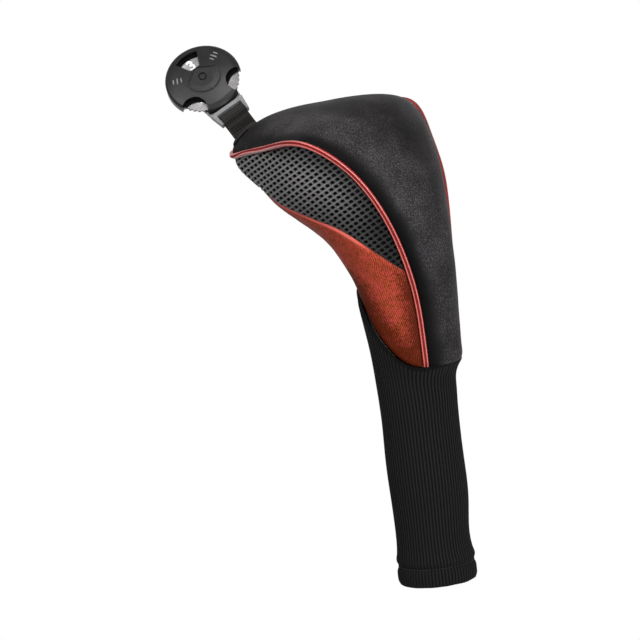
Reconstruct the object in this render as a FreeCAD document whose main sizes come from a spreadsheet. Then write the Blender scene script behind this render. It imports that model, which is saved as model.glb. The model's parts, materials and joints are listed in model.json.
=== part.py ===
import FreeCAD, Part
import math
import os
import re

import Sketcher

# Golf driver head cover: a shaped hood of panels with piping, a knit sock below it,
# and a webbing loop that carries a rotating number tag.
# Frame: origin at the centre of the sock's mouth, +Z up the sock, beak towards -X.
# The cover is symmetric about y = 0; "left" is the -Y side.

Vec = FreeCAD.Vector
doc = FreeCAD.newDocument("driver_head_cover")

# ---------------------------------------------------------------- sizes, in millimetres
SIZES = {
    # hood
    "hood_half_width": 61.0,
    "beak_reach": 123.4,
    "hood_rise": 171.3,
    "head_base": 148.0,
    "neck_radius": 31.0,
    "neck_shift": 1.5,
    "seam_draw": 3.3,
    "panel_wall": 3.0,
    "mesh_skin": 1.0,
    "lining_wall": 2.0,
    "layer_gap": 0.4,
    "seam_gap": 1.2,
    "butt_gap": 0.3,
    # piping
    "bead_radius": 1.8,
    "cord_radius": 1.15,
    "flange_wall": 0.4,
    # sock
    "sock_radius": 25.0,
    "knit_wall": 1.8,
    "hem_height": 16.0,
    "hem_stitch_level": 12.0,
    "thread_width": 0.8,
    "elastic_level": 104.0,
    "elastic_height": 8.0,
    "elastic_wall": 0.9,
    "binding_above": 6.0,
    "binding_below": 1.5,
    "binding_wall": 0.8,
    "binding_gap": 0.8,
    "seam_fold": 2.0,
    # strap
    "strap_width": 18.0,
    "strap_wall": 1.3,
    "strap_reach": 42.5,
    "strap_tilt": 52.0,
    "strap_twist": 44.0,
    "tag_pitch": 19.0,
    "tab_length": 16.0,
    "tab_lift": 0.5,
    "root_lift": 0.7,
    "strap_root_x": -113.3,
    "stitch_size": 0.8,
    # tag
    "tag_radius": 25.0,
    "front_wall": 2.0,
    "dome_rise": 2.2,
    "skirt_wall": 1.2,
    "back_wall": 2.0,
    "dial_wall": 1.6,
    "dial_teeth": 46.0,
    "tooth_radius": 0.95,
    "turn_clearance": 0.4,
    "notch_radius": 8.8,
    "notch_depth": 9.8,
    "notch_angle": 131.0,
    "window_inner": 9.0,
    "window_outer": 20.8,
    "window_half_angle": 24.0,
    "hub_radius": 11.2,
    "hub_arc": 190.0,
    "hub_apex": 8.2,
    "groove_wide": 1.1,
    "groove_deep": 0.5,
    "rivet_radius": 1.6,
    "rivet_head": 2.4,
    "rivet_head_wall": 0.7,
    "well_radius": 2.9,
    "well_deep": 0.9,
    "bore_clearance": 0.08,
    "washer_radius": 6.0,
    "washer_wall": 0.6,
    "lug_width": 21.4,
    "lug_base_width": 26.0,
    "lug_wall": 4.4,
    "bar_distance": 33.5,
    "bar_radius": 1.6,
    "bar_clearance": 0.3,
    "side_clearance": 0.3,
    "slot_room": 2.0,
    "tack_start": 4.2,
    "tack_pitch": 1.3,
    "fit_gap": 0.1,
}

sheet = doc.addObject("Spreadsheet::Sheet", "sizes")
for row, (name, value) in enumerate(SIZES.items(), start=1):
    sheet.set("A%d" % row, name)
    sheet.set("B%d" % row, repr(value))
    sheet.setAlias("B%d" % row, name)
doc.recompute()


def size(name):
    """Value of one named cell of the sheet."""
    return float(getattr(sheet, name))


# ---------------------------------------------------------------- pattern of the hood
# Sections from the neck to the beak, in pattern units: throat (x, z), piping (x, y, z),
# crown (x, z) and how round the cheek is (1 is a circular arc, 0 is flat).
PATTERN = [
    ((-29.5, 128), (20.8, 19.6, 128), (32.5, 128), 1.0),
    ((-29.7, 160), (20.8, 19.6, 160), (32.5, 160), 1.0),
    ((-33.2, 188), (19.8, 21.6, 196), (33.4, 197), 0.95),
    ((-37.6, 200.5), (17.5, 25.9, 218), (31.4, 226), 0.88),
    ((-45.0, 212), (13.8, 32.2, 240), (28.9, 250), 0.80),
    ((-56.0, 221.8), (7.6, 39.5, 261), (25.3, 272), 0.70),
    ((-70.0, 229.8), (-5.4, 48.8, 283.5), (16.5, 295), 0.60),
    ((-86.0, 238), (-27.3, 61.0, 301.5), (-9.0, 316.3), 0.50),
    ((-100.0, 249.5), (-51.0, 53.4, 300), (-50.0, 314.5), 0.45),
    ((-113.0, 260.6), (-79.5, 35.4, 293), (-86.5, 307.3), 0.40),
    ((-122.0, 269.6), (-104.5, 19.8, 285.8), (-109.5, 296.4), 0.35),
    ((-123.4, 278.2), (-118.6, 10.0, 281.4), (-122.8, 285.2), 0.30),
]
NECK_SEAM = [(-45, 211), (-31, 193), (-17, 176), (0, 157), (10, 148.5), (24, 143.8), (31, 145),
             (45, 142)]
MESH_SEAM = [(-135, 262), (-101, 255), (-68, 248.5), (-43, 243.5), (-24, 239), (-4, 227),
             (15, 211), (30, 197)]
TAPER = [1.0] * 9 + [0.8, 0.55, 0.25]

HALF_SPAN = max(p[1][1] for p in PATTERN)
REACH_SPAN = -min(p[0][0] for p in PATTERN)
RISE_FOOT, RISE_TOP = 145.0, max(p[2][1] for p in PATTERN)


def fit_x(x):
    """Pattern x to real x: the beak side scales with the reach, the nape with the neck."""
    if x < 0:
        return x * size("beak_reach") / REACH_SPAN
    return x * (size("neck_radius") + size("neck_shift")) / 32.5


def fit_z(z):
    """Pattern z to real z."""
    return size("head_base") + (z - RISE_FOOT) * size("hood_rise") / (RISE_TOP - RISE_FOOT)


def fit_y(y):
    """Pattern half-width to real half-width."""
    return y * size("hood_half_width") / HALF_SPAN


def unit(v):
    return Vec(v).normalize()


def mirror_y(v):
    return Vec(v.x, -v.y, v.z)


class Section:
    """One cross-section of the hood: throat, piping and crown points and their arcs."""

    def __init__(self, throat, piping, crown, fullness):
        self.throat, self.piping, self.crown, self.fullness = throat, piping, crown, fullness

    def arc(self, apex, amount, flow):
        """Handles of a round arc from an apex on the symmetry plane to the piping point.

        Returns the poles of its two Bezier spans, apex first.
        """
        foot = Vec(self.piping.x, 0, self.piping.z)
        lift = foot - apex
        axis = unit(lift)
        square = max(0.35, math.sqrt(max(0.0, 1 - axis.dot(flow) ** 2)))
        rise, wide = lift.Length * square, -self.piping.y
        sweep = 2 * math.atan2(rise, wide)
        radius = (wide ** 2 + rise ** 2) / (2 * rise)
        side = Vec(0, -1, 0)

        def at(angle, reach=0.0):
            """Point at an angle along the arc, moved along the tangent by reach."""
            across = radius * math.sin(angle) + reach * math.cos(angle)
            up = radius * (1 - math.cos(angle)) + reach * math.sin(angle)
            return apex + side * across + axis * (up / square)

        handle = 4.0 / 3.0 * math.tan(sweep / 8) * radius
        round_poles = [at(0), at(0, handle), at(sweep / 2, -handle), at(sweep / 2),
                       at(sweep / 2, handle), at(sweep, -handle), at(sweep)]
        flat_poles = [apex + (self.piping - apex) * (i / 6.0) for i in range(7)]
        return [f + (r - f) * amount for r, f in zip(round_poles, flat_poles)]


def flow_of(sections, i):
    """Direction of the hood's run at one section, in the symmetry plane."""
    a, b = sections[max(i - 1, 0)], sections[min(i + 1, len(sections) - 1)]
    run = unit(b.throat - a.throat) + unit(b.crown - a.crown)
    return unit(run)


def build_sections():
    made = []
    for throat, piping, crown, fullness in PATTERN:
        made.append(Section(Vec(fit_x(throat[0]), 0, fit_z(throat[1])),
                            Vec(fit_x(piping[0]), -fit_y(piping[1]), fit_z(piping[2])),
                            Vec(fit_x(crown[0]), 0, fit_z(crown[1])), fullness))
    # the neck is nearly round, drawn in a little where the piping lies between the panels
    turn = (size("neck_radius") - size("seam_draw")) * math.sqrt(0.5)
    for section in made[:2]:
        section.throat.x = size("neck_shift") - size("neck_radius")
        section.crown.x = size("neck_shift") + size("neck_radius")
        section.piping.x, section.piping.y = size("neck_shift") + turn, -turn
    return made


SECTIONS = build_sections()
COUNT = len(SECTIONS)


def frame_at(i):
    """Inward directions at throat, piping and crown of a section, with the seam's sides."""
    here = SECTIONS[i]
    flow = flow_of(SECTIONS, i)
    a, b = SECTIONS[max(i - 1, 0)], SECTIONS[min(i + 1, COUNT - 1)]
    cheek = here.arc(here.throat, here.fullness, flow)
    crown = here.arc(here.crown, 1.0, flow)
    to_cheek, to_crown = unit(cheek[5] - cheek[6]), unit(crown[5] - crown[6])
    along = unit(b.piping - a.piping)
    centre = (here.throat + here.crown) * 0.5

    def inward(normal, point):
        normal = unit(normal)
        return normal if normal.dot(centre - point) > 0 else normal * -1

    n_cheek = inward(to_cheek.cross(along), here.piping)
    n_crown = inward(to_crown.cross(along), here.piping)
    mitre = (n_cheek + n_crown) * (1.0 / max(0.45, 1 + n_cheek.dot(n_crown)))
    run_t = unit(b.throat - a.throat)
    n_throat = inward(Vec(-run_t.z, 0, run_t.x), here.throat)
    leave = unit(cheek[1] - cheek[0])
    n_throat = n_throat * (1.0 / max(0.4, math.sqrt(max(0.0, 1 - leave.dot(n_throat) ** 2))))
    run_c = unit(b.crown - a.crown)
    n_top = inward(Vec(-run_c.z, 0, run_c.x), here.crown)
    return n_throat, mitre, n_top, to_cheek, to_crown, along


FRAMES = [frame_at(i) for i in range(COUNT)]


def stations():
    """Parameter of each section along the hood: the mean distance run."""
    run = [0.0]
    for a, b in zip(SECTIONS, SECTIONS[1:]):
        step = (b.throat - a.throat).Length + (b.piping - a.piping).Length
        run.append(run[-1] + step + (b.crown - a.crown).Length)
    return [r / run[-1] for r in run]


RUN = stations()


def inset(i, depth):
    """The section at a depth below the outer face."""
    n_throat, mitre, n_top = FRAMES[i][:3]
    here = SECTIONS[i]
    deep = depth * TAPER[i]
    return Section(here.throat + n_throat * deep, here.piping + mitre * deep,
                   here.crown + n_top * deep, here.fullness)


def cheek_poles(i, depth):
    """Poles of the left cheek from throat to piping, clear of the seam."""
    section = inset(i, depth)
    section.piping = section.piping + FRAMES[i][3] * size("seam_gap")
    return section.arc(section.throat, section.fullness, flow_of(SECTIONS, i))


def crown_poles(i, depth):
    """Poles of the crown from the left piping over the top to the right piping."""
    section = inset(i, depth)
    section.piping = section.piping + FRAMES[i][4] * size("seam_gap")
    half = section.arc(section.crown, 1.0, flow_of(SECTIONS, i))[::-1]
    return half + [mirror_y(p) for p in half[-2::-1]]


# ---------------------------------------------------------------- surfaces and solids
def row_spline(points, params):
    curve = Part.BSplineCurve()
    curve.interpolate(Points=points, Parameters=params)
    return curve


def net(rows, params, spans, degree=3):
    """Surface through sections. rows[j] is one pole of every section, along the run."""
    curves = [row_spline(row, params) for row in rows]
    poles = [curve.getPoles() for curve in curves]
    knots = [float(k) for k in range(spans + 1)]
    mults = [degree + 1] + [degree] * (spans - 1) + [degree + 1]
    surface = Part.BSplineSurface()
    surface.buildFromPolesMultsKnots(poles, mults, curves[0].getMultiplicities(), knots,
                                     curves[0].getKnots(), False, False, degree, 3)
    return surface


def end_patch(outer, inner, last, spans, degree=3):
    """Flat end between the outer and inner edge of a layer."""
    k = -1 if last else 0
    rows = [[o[k], i[k]] for o, i in zip(outer, inner)]
    knots = [float(n) for n in range(spans + 1)]
    mults = [degree + 1] + [degree] * (spans - 1) + [degree + 1]
    surface = Part.BSplineSurface()
    surface.buildFromPolesMultsKnots(rows, mults, [2, 2], knots, [0.0, 1.0],
                                     False, False, degree, 1)
    return surface


def side_patch(outer_row, inner_row, params):
    """Ruled side between two long edges."""
    return net([outer_row, inner_row], params, 1, degree=1)


def closed_solid(surfaces):
    """Solid inside a set of surfaces that share their edges."""
    shell = Part.makeShell([s.toShape() for s in surfaces])
    shell.sewShape(0.002)
    solid = Part.makeSolid(Part.Shell(shell.Faces))
    if solid.Volume < 0:
        solid.reverse()
    return solid


def layer(outer_sections, inner_sections, params):
    """Open layer (a panel) between two lists of pole sections."""
    outer = [list(row) for row in zip(*outer_sections)]
    inner = [list(row) for row in zip(*inner_sections)]
    spans = (len(outer) - 1) // 3
    return closed_solid([
        net(outer, params, spans), net(inner, params, spans),
        side_patch(outer[0], inner[0], params), side_patch(outer[-1], inner[-1], params),
        end_patch(outer, inner, False, spans), end_patch(outer, inner, True, spans)])


def hood_layer(poles_at, depth, wall, first=0, last=COUNT):
    """Layer of the hood from a depth, over a stretch of its sections."""
    picked = range(first, last)
    return layer([poles_at(i, depth) for i in picked],
                 [poles_at(i, depth + wall) for i in picked], [RUN[i] for i in picked])


def seam_spline(points, shift):
    curve = Part.BSplineCurve()
    curve.interpolate([Vec(fit_x(x), 0, fit_z(z) + shift) for x, z in points])
    return curve


def above(points, shift, top=420.0):
    """Prism of everything above a seam drawn in the symmetry plane."""
    edge = seam_spline(points, shift).toShape()
    a, b = edge.valueAt(edge.FirstParameter), edge.valueAt(edge.LastParameter)
    far = 250.0
    corners = [b, Vec(far, 0, b.z), Vec(far, 0, top), Vec(-far, 0, top), Vec(-far, 0, a.z), a]
    sides = [Part.makeLine(p, q) for p, q in zip(corners, corners[1:])]
    face = Part.Face(Part.Wire(Part.__sortEdges__([edge] + sides)))
    face.translate(Vec(0, -200, 0))
    return face.extrude(Vec(0, 400, 0))


def keep(shape, tool, inside):
    """Part of a solid inside or outside a tool, as one solid."""
    result = shape.common(tool) if inside else shape.cut(tool)
    solids = sorted(result.Solids, key=lambda s: -s.Volume)
    return solids[0]


def mirrored(shape):
    return shape.mirror(Vec(0, 0, 0), Vec(0, 1, 0))


PIECES = []


def piece(label, shape):
    """Sub-part whose shape is free-form."""
    holder = doc.addObject("Part::Feature", label)
    holder.Label = label
    holder.Shape = shape
    PIECES.append(holder)
    return holder


def flip_pair(name, shape):
    piece(name + "_left", shape)
    piece(name + "_right", mirrored(shape))


# ---------------------------------------------------------------- the hood's panels
half_butt = size("butt_gap") / 2
over_neck = above(NECK_SEAM, half_butt)
over_mesh_seam = above(MESH_SEAM, half_butt)
over_mesh_seam_low = above(MESH_SEAM, -half_butt)
over_neck_low = above(NECK_SEAM, -half_butt)

wall, skin = size("panel_wall"), size("mesh_skin")
gap, lining = size("layer_gap"), size("lining_wall")

crown = hood_layer(crown_poles, 0.0, wall)
piece("crown_panel", keep(crown, over_neck, True))

cheek = keep(hood_layer(cheek_poles, 0.0, wall), over_neck, True)
flip_pair("throat_panel", keep(cheek, over_mesh_seam_low, False))
flip_pair("mesh_panel", keep(hood_layer(cheek_poles, 0.0, skin), over_mesh_seam, True))
flip_pair("mesh_backing",
          keep(hood_layer(cheek_poles, skin + gap / 2, wall - skin - gap / 2), over_mesh_seam, True))

lining_end = COUNT - 2
over_lining = above(NECK_SEAM, size("binding_above") + 1.0)
crown_inside = hood_layer(crown_poles, wall + gap, lining, last=lining_end)
piece("crown_lining", keep(crown_inside, over_lining, True))
cheek_inside = hood_layer(cheek_poles, wall + gap, lining, last=lining_end)
flip_pair("cheek_lining", keep(cheek_inside, over_lining, True))


# ---------------------------------------------------------------- piping round the crown
def piping_stations():
    """Centre, outward and side directions of the bead: left side, beak tip, right side."""
    left = []
    for i in range(COUNT):
        outward = unit(FRAMES[i][1]) * -1
        along = FRAMES[i][5]
        side = unit(along.cross(outward))
        left.append((SECTIONS[i].piping, outward, side))
    tip_p = SECTIONS[-1].piping
    tip = Vec(tip_p.x - 0.35 * abs(tip_p.y), 0, tip_p.z)
    middle = (tip, Vec(-1, 0, 0), Vec(0, 0, 1))
    flip = [(mirror_y(p), mirror_y(o), mirror_y(s)) for p, o, s in left]
    return left + [middle] + flip[::-1]


def piping_run(track):
    run = [0.0]
    for a, b in zip(track, track[1:]):
        run.append(run[-1] + (b[0] - a[0]).Length)
    return [r / run[-1] for r in run]


def round_poles(centre, outward, side, radius, start, stop, spans):
    """Bezier poles of an arc about a centre; angle 0 points outward."""
    step = (stop - start) / spans
    handle = 4.0 / 3.0 * math.tan(step / 4) * radius
    poles = []
    for n in range(spans + 1):
        angle = start + n * step
        spoke = outward * math.cos(angle) + side * math.sin(angle)
        tangent = side * math.cos(angle) - outward * math.sin(angle)
        point = centre + spoke * radius
        if n > 0:
            poles.append(point - tangent * handle)
        poles.append(point)
        if n < spans:
            poles.append(point + tangent * handle)
    return poles


def end_face(surfaces, first):
    """Flat face that closes a swept profile at one end."""
    loops = []
    for group in surfaces:
        edges = []
        for surface in group:
            k = surface.bounds()[2] if first else surface.bounds()[3]
            edges.append(surface.vIso(k).toShape())
        loops.append(Part.Wire(Part.__sortEdges__(edges)))
    face = Part.Face(loops[0])
    return face.cut(Part.Face(loops[1])).Faces[0] if len(loops) > 1 else face


def swept_solid(groups):
    """Solid with side surfaces in loops (outer loop first) and flat ends."""
    faces = [s.toShape() for group in groups for s in group]
    faces += [end_face(groups, True), end_face(groups, False)]
    shell = Part.makeShell(faces)
    shell.sewShape(0.002)
    solid = Part.makeSolid(Part.Shell(shell.Faces))
    if solid.Volume < 0:
        solid.reverse()
    return solid


def make_piping():
    track = piping_stations()
    params = piping_run(track)
    bead, cord = size("bead_radius"), size("cord_radius")
    half_flange = size("flange_wall") / 2
    open_angle = math.pi - math.asin(half_flange / bead)
    mitres = [size("panel_wall") * TAPER[i] * FRAMES[i][1].Length for i in range(COUNT)]
    depths = mitres + [mitres[-1]] + mitres[::-1]
    outer, bore, flange_a, flange_b, rod = [], [], [], [], []
    for (point, outward, side), depth in zip(track, depths):
        centre = point + outward * bead
        outer.append(round_poles(centre, outward, side, bead, -open_angle, open_angle, 4))
        bore.append(round_poles(centre, outward, side, cord + size("fit_gap"), -math.pi, math.pi, 4))
        rod.append(round_poles(centre, outward, side, cord, -math.pi, math.pi, 4))
        root = point - outward * (0.85 * depth)
        flange_a.append(root + side * half_flange)
        flange_b.append(root - side * half_flange)

    def arcs(sections):
        rows = [list(row) for row in zip(*sections)]
        return [net(rows[3 * n:3 * n + 4], params, 1) for n in range(4)]

    first = [s[-1] for s in outer]
    last = [s[0] for s in outer]
    flange = [side_patch(first, flange_a, params), side_patch(flange_a, flange_b, params),
              side_patch(flange_b, last, params)]
    cover = swept_solid([arcs(outer) + flange, arcs(bore)])
    core = swept_solid([arcs(rod)])
    piece("piping_cover", keep(cover, over_neck, True))
    piece("piping_core", keep(core, over_neck, True))


make_piping()


# ---------------------------------------------------------------- sock, binding, elastic
def seam_height(x):
    """Height of the neck seam over a point of the symmetry plane, in real size."""
    points = [(fit_x(px), fit_z(pz)) for px, pz in NECK_SEAM]
    points.sort()
    for (xa, za), (xb, zb) in zip(points, points[1:]):
        if xa <= x <= xb:
            return za + (zb - za) * (x - xa) / (xb - xa)
    return points[0][1] if x < points[0][0] else points[-1][1]


def ring_poles(throat_r, nape_r, height_at):
    """Poles of the left half of a ring, nape to throat, lifted to a height over each x."""
    radius, shift = (throat_r + nape_r) / 2, (nape_r - throat_r) / 2
    k = 0.5523 * radius
    plan = [(radius, 0), (radius, -k), (k, -radius), (0, -radius), (-k, -radius),
            (-radius, -k), (-radius, 0)]
    return [Vec(shift + x, y, height_at(shift + x)) for x, y in plan]


def ring_solid(outer_rings, inner_rings, params):
    """Tube between two lists of half rings and their mirror images."""
    surfaces = []
    for flip in (False, True):
        outer = [list(row) for row in zip(*outer_rings)]
        inner = [list(row) for row in zip(*inner_rings)]
        if flip:
            outer = [[mirror_y(p) for p in row] for row in outer]
            inner = [[mirror_y(p) for p in row] for row in inner]
        surfaces += [net(outer, params, 2), net(inner, params, 2),
                     end_patch(outer, inner, False, 2), end_patch(outer, inner, True, 2)]
    return closed_solid(surfaces)


def sock_levels():
    """Levels of the sock: (height at throat, radius at throat, height at nape, radius at nape)."""
    r = size("sock_radius")
    base = size("head_base")
    neck_t = size("neck_radius") + 2.0
    neck_n = size("neck_radius") + size("neck_shift")
    top_t = seam_height(-size("neck_radius"))
    dent = size("hem_stitch_level")
    return [
        (0.0, r - 0.5, 0.0, r - 0.5),
        (2.0, r + 0.5, 2.0, r + 0.5),
        (dent / 2, r + 0.9, dent / 2, r + 0.8),
        (dent - 1.2, r - 0.2, dent - 1.2, r - 0.2),
        (dent, r - 0.9, dent, r - 0.9),
        (dent + 1.2, r - 0.3, dent + 1.2, r - 0.3),
        (dent + 6, r + 0.3, dent + 6, r - 0.1),
        (base * 0.35, r, base * 0.35, r - 0.4),
        (base * 0.66, r + 0.9, base * 0.66, r - 0.2),
        (base - 27, r + 1.5, base - 33, r),
        (base - 5, r + 2.6, base - 21, r + 0.4),
        (top_t - 31, r + 4.3, base - 12, r + 0.9),
        (top_t - 13, neck_t - 1.8, base - 5, neck_n - 3.6),
        (top_t + 1, neck_t, base + 1.5, neck_n - 0.4),
        (top_t + 11, neck_t + 0.8, base + 11, neck_n),
    ]


def level_height(throat_z, nape_z):
    """Height over x for a level that leans like the neck seam."""
    low = seam_height(size("neck_radius") + size("neck_shift"))
    high = seam_height(-size("neck_radius"))

    def height(x):
        share = min(1.0, max(0.0, (seam_height(x) - low) / (high - low)))
        return nape_z + (throat_z - nape_z) * share
    return height


def make_sock():
    levels = sock_levels()
    knit, fold = size("knit_wall"), size("seam_fold")
    params, last = [], 0.0
    outer, inner = [], []
    for n, (tz, tr, nz, nr) in enumerate(levels):
        params.append((tz + nz) / 2)
        wall_here = fold if n >= len(levels) - 3 else knit
        height = level_height(tz, nz)
        outer.append(ring_poles(tr, nr, height))
        inside_t, inside_n = tr - wall_here, nr - wall_here
        if tz < size("hem_height") + 6:
            inside_t = inside_n = size("sock_radius") - knit
        inner.append(ring_poles(inside_t, inside_n, height))
    tube = keep(ring_solid(outer, inner, params), over_neck_low, False)
    mouth = size("sock_radius") - 2 * knit
    turned = Part.makeCylinder(size("sock_radius") - knit + 0.4, size("hem_height"))
    sock = tube.fuse(turned).cut(Part.makeCylinder(mouth, size("hem_height") + 5))
    piece("sock", sock.Solids[0])


make_sock()


def make_binding():
    """Tape inside the neck, over the seam of hood and sock: a slice of a deeper hood layer."""
    depth = size("panel_wall") + size("binding_gap")
    picked = range(0, 5)
    params = [RUN[i] for i in picked]
    loops = []
    for deep in (depth, depth + size("binding_wall")):
        cheeks, crowns = [], []
        for i in picked:
            section, flow = inset(i, deep), flow_of(SECTIONS, i)
            cheeks.append(section.arc(section.throat, section.fullness, flow))
            half = section.arc(section.crown, 1.0, flow)[::-1]
            crowns.append(half + [mirror_y(p) for p in half[-2::-1]])
        left = [list(row) for row in zip(*cheeks)]
        right = [[mirror_y(p) for p in row] for row in left]
        loops.append((left, right, [list(row) for row in zip(*crowns)]))
    surfaces = []
    for outer, inner in zip(*loops):
        spans = (len(outer) - 1) // 3
        surfaces += [net(outer, params, spans), net(inner, params, spans),
                     end_patch(outer, inner, False, spans), end_patch(outer, inner, True, spans)]
    ring = closed_solid(surfaces)
    band = keep(ring, above(NECK_SEAM, -size("binding_below")), True)
    band = keep(band, above(NECK_SEAM, size("binding_above")), False)
    piece("neck_binding", band)


make_binding()


# ---------------------------------------------------------------- machined and moulded pieces
def value(expression):
    """Number that an expression over the sheet's cells gives."""
    result = sheet.evalExpression(expression)
    return float(getattr(result, "Value", result))


def cell(expression):
    """The same expression, written for an object other than the sheet."""
    for name in sorted(SIZES, key=len, reverse=True):
        expression = re.sub(r"(?<![A-Za-z_.])%s(?![A-Za-z_])" % name, "sizes." + name, expression)
    return expression


class Piece:
    """PartDesign body made from sketches whose sizes are bound to the sheet."""

    def __init__(self, label, placement=None):
        self.body = doc.addObject("PartDesign::Body", label)
        self.body.Label = label
        if placement is not None:
            self.body.Placement = placement
        PIECES.append(self.body)

    def sketch(self, plane, offset="0"):
        made = self.body.newObject("Sketcher::SketchObject", self.body.Label + "_sketch")
        planes = [f for f in self.body.Origin.OriginFeatures if f.Role == plane]
        made.AttachmentSupport = (planes[0], [""])
        made.MapMode = "FlatFace"
        if offset != "0":
            made.setExpression("AttachmentOffset.Base.z", cell(offset))
        return made

    def pin(self, sketch, geometry, vertex, across, up):
        """Tie one vertex to the sketch's origin by two bound distances."""
        for kind, expression in (("DistanceX", across), ("DistanceY", up)):
            n = sketch.addConstraint(Sketcher.Constraint(kind, -1, 1, geometry, vertex,
                                                         value(expression)))
            sketch.setExpression("Constraints[%d]" % n, cell(expression))

    def polygon(self, sketch, corners):
        points = [Vec(value(a), value(b), 0) for a, b in corners]
        count = len(points)
        first = sketch.GeometryCount
        for n in range(count):
            sketch.addGeometry(Part.LineSegment(points[n], points[(n + 1) % count]), False)
        for n in range(count):
            sketch.addConstraint(Sketcher.Constraint("Coincident", first + n, 2,
                                                     first + (n + 1) % count, 1))
        for n, (a, b) in enumerate(corners):
            self.pin(sketch, first + n, 1, a, b)

    def circle(self, sketch, across, up, radius):
        centre = Vec(value(across), value(up), 0)
        n = sketch.addGeometry(Part.Circle(centre, Vec(0, 0, 1), value(radius)), False)
        self.pin(sketch, n, 3, across, up)
        c = sketch.addConstraint(Sketcher.Constraint("Radius", n, value(radius)))
        sketch.setExpression("Constraints[%d]" % c, cell(radius))

    def feature(self, kind, sketch, length=None, both=False, back=False, angle="360"):
        before = self.body.Shape.Volume if self.body.Tip else 0.0
        made = self.body.newObject("PartDesign::" + kind, "%s_%s" % (self.body.Label, kind))
        made.Profile = sketch
        if kind in ("Revolution", "Groove"):
            made.ReferenceAxis = (sketch, ["V_Axis"])
            made.setExpression("Angle", cell(angle))
            made.Midplane = both
        elif length is None:
            made.Type = "ThroughAll"
            made.Midplane = True
        else:
            made.setExpression("Length", cell(length))
            made.Midplane = both
            made.Reversed = back
        sketch.Visibility = False
        doc.recompute()
        removed = before - self.body.Shape.Volume
        if kind in ("Pocket", "Groove") and removed < 0.01:
            raise RuntimeError("%s cuts nothing from %s" % (sketch.Label, self.body.Label))
        return made

    def polar(self, source, count):
        made = self.body.newObject("PartDesign::PolarPattern", self.body.Label + "_pattern")
        made.Originals = [source]
        made.Axis = (source.Profile[0], ["N_Axis"])
        made.Angle = 360.0
        made.setExpression("Occurrences", cell(count))
        self.body.Tip = made
        doc.recompute()
        return made


def primitive(kind, label, placement=None, **bound):
    """Part primitive with bound sizes."""
    made = doc.addObject("Part::" + kind, label)
    made.Label = label
    for name, expression in bound.items():
        made.setExpression(name, cell(expression))
    if placement is not None:
        made.Placement = placement
    doc.recompute()
    return made


# elastic band inside the neck of the sock
elastic = Piece("neck_elastic")
band = elastic.sketch("XZ_Plane")
elastic.polygon(band, [
    ("sock_radius - knit_wall - fit_gap - 0.5 - elastic_wall", "elastic_level"),
    ("sock_radius - knit_wall - fit_gap - 0.5", "elastic_level"),
    ("sock_radius - knit_wall - fit_gap - 0.5", "elastic_level + elastic_height"),
    ("sock_radius - knit_wall - fit_gap - 0.5 - elastic_wall", "elastic_level + elastic_height")])
elastic.feature("Revolution", band)

# thread of the hem, laid in its dent
thread = primitive("Torus", "hem_thread",
                   FreeCAD.Placement(Vec(0, 0, size("hem_stitch_level")), FreeCAD.Rotation()),
                   Radius1="sock_radius - 0.9 + thread_width / 2 + 1.5 * fit_gap",
                   Radius2="thread_width / 2")
PIECES.append(thread)

# ---------------------------------------------------------------- frames of strap and tag
tilt, twist = math.radians(size("strap_tilt")), math.radians(size("strap_twist"))
strap_way = Vec(-math.cos(tilt), 0, math.sin(tilt))
flat_normal = Vec(math.sin(tilt), 0, math.cos(tilt))
tag_normal = flat_normal * math.cos(twist) + Vec(0, -1, 0) * math.sin(twist)
tag_side = tag_normal.cross(strap_way)
crown_line = row_spline([s.crown for s in SECTIONS], RUN)
low, high = 0.5, 1.0
for step in range(40):
    middle = (low + high) / 2
    if crown_line.value(middle).x > size("strap_root_x"):
        low = middle
    else:
        high = middle
crown_run = Vec(crown_line.tangent(low)[0])
tab_up = Vec(crown_run.z, 0, -crown_run.x)
tab_foot = crown_line.value(low) + tab_up * size("tab_lift")
strap_root = tab_foot + tab_up * (2 * size("strap_wall") + size("root_lift"))
strap_turn = FreeCAD.Rotation(strap_way, tag_side, tag_normal, "ZXY")
BAR_Z = "(dial_wall / 2 + turn_clearance - lug_wall / 2 - 0.3)"
STRAP = FreeCAD.Placement(strap_root + strap_way * size("strap_reach")
                          - tag_normal * value(BAR_Z), strap_turn)
# the tag leans on its bar, a little off the strap's line
bar_point = Vec(-size("bar_distance"), 0, value(BAR_Z))
lean = FreeCAD.Placement(Vec(), FreeCAD.Rotation(Vec(0, 1, 0), size("tag_pitch")))
TAG = (STRAP * FreeCAD.Placement(bar_point, FreeCAD.Rotation()) * lean
       * FreeCAD.Placement(bar_point * -1, FreeCAD.Rotation()))

# tab: the webbing's ends, spread flat on the crown
tab_turn = FreeCAD.Rotation(crown_run, tab_up.cross(crown_run), tab_up, "ZXY")
tab_seat = FreeCAD.Placement(tab_foot, tab_turn)
tab = Piece("strap_tab", tab_seat)
outline = tab.sketch("XY_Plane")
tab.polygon(outline, [
    ("-tab_length / 2", "-strap_width / 2"), ("tab_length / 2", "-strap_width / 2"),
    ("tab_length / 2", "strap_width / 2"), ("-tab_length / 2", "strap_width / 2")])
tab.feature("Pad", outline, "strap_wall")

# rows of stitching across both ends of the tab
stitching = Piece("tab_stitching", tab_seat)
rows = stitching.sketch("XY_Plane", "strap_wall + 0.05")
for way in ("-", ""):
    near, far = way + "(tab_length / 2 - 2)", way + "(tab_length / 2 - 2 - stitch_size)"
    corners = [(far, "-(strap_width / 2 - 1.5)"), (near, "-(strap_width / 2 - 1.5)"),
               (near, "strap_width / 2 - 1.5"), (far, "strap_width / 2 - 1.5")]
    stitching.polygon(rows, corners)
stitching.feature("Pad", rows, "stitch_size / 2")

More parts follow.
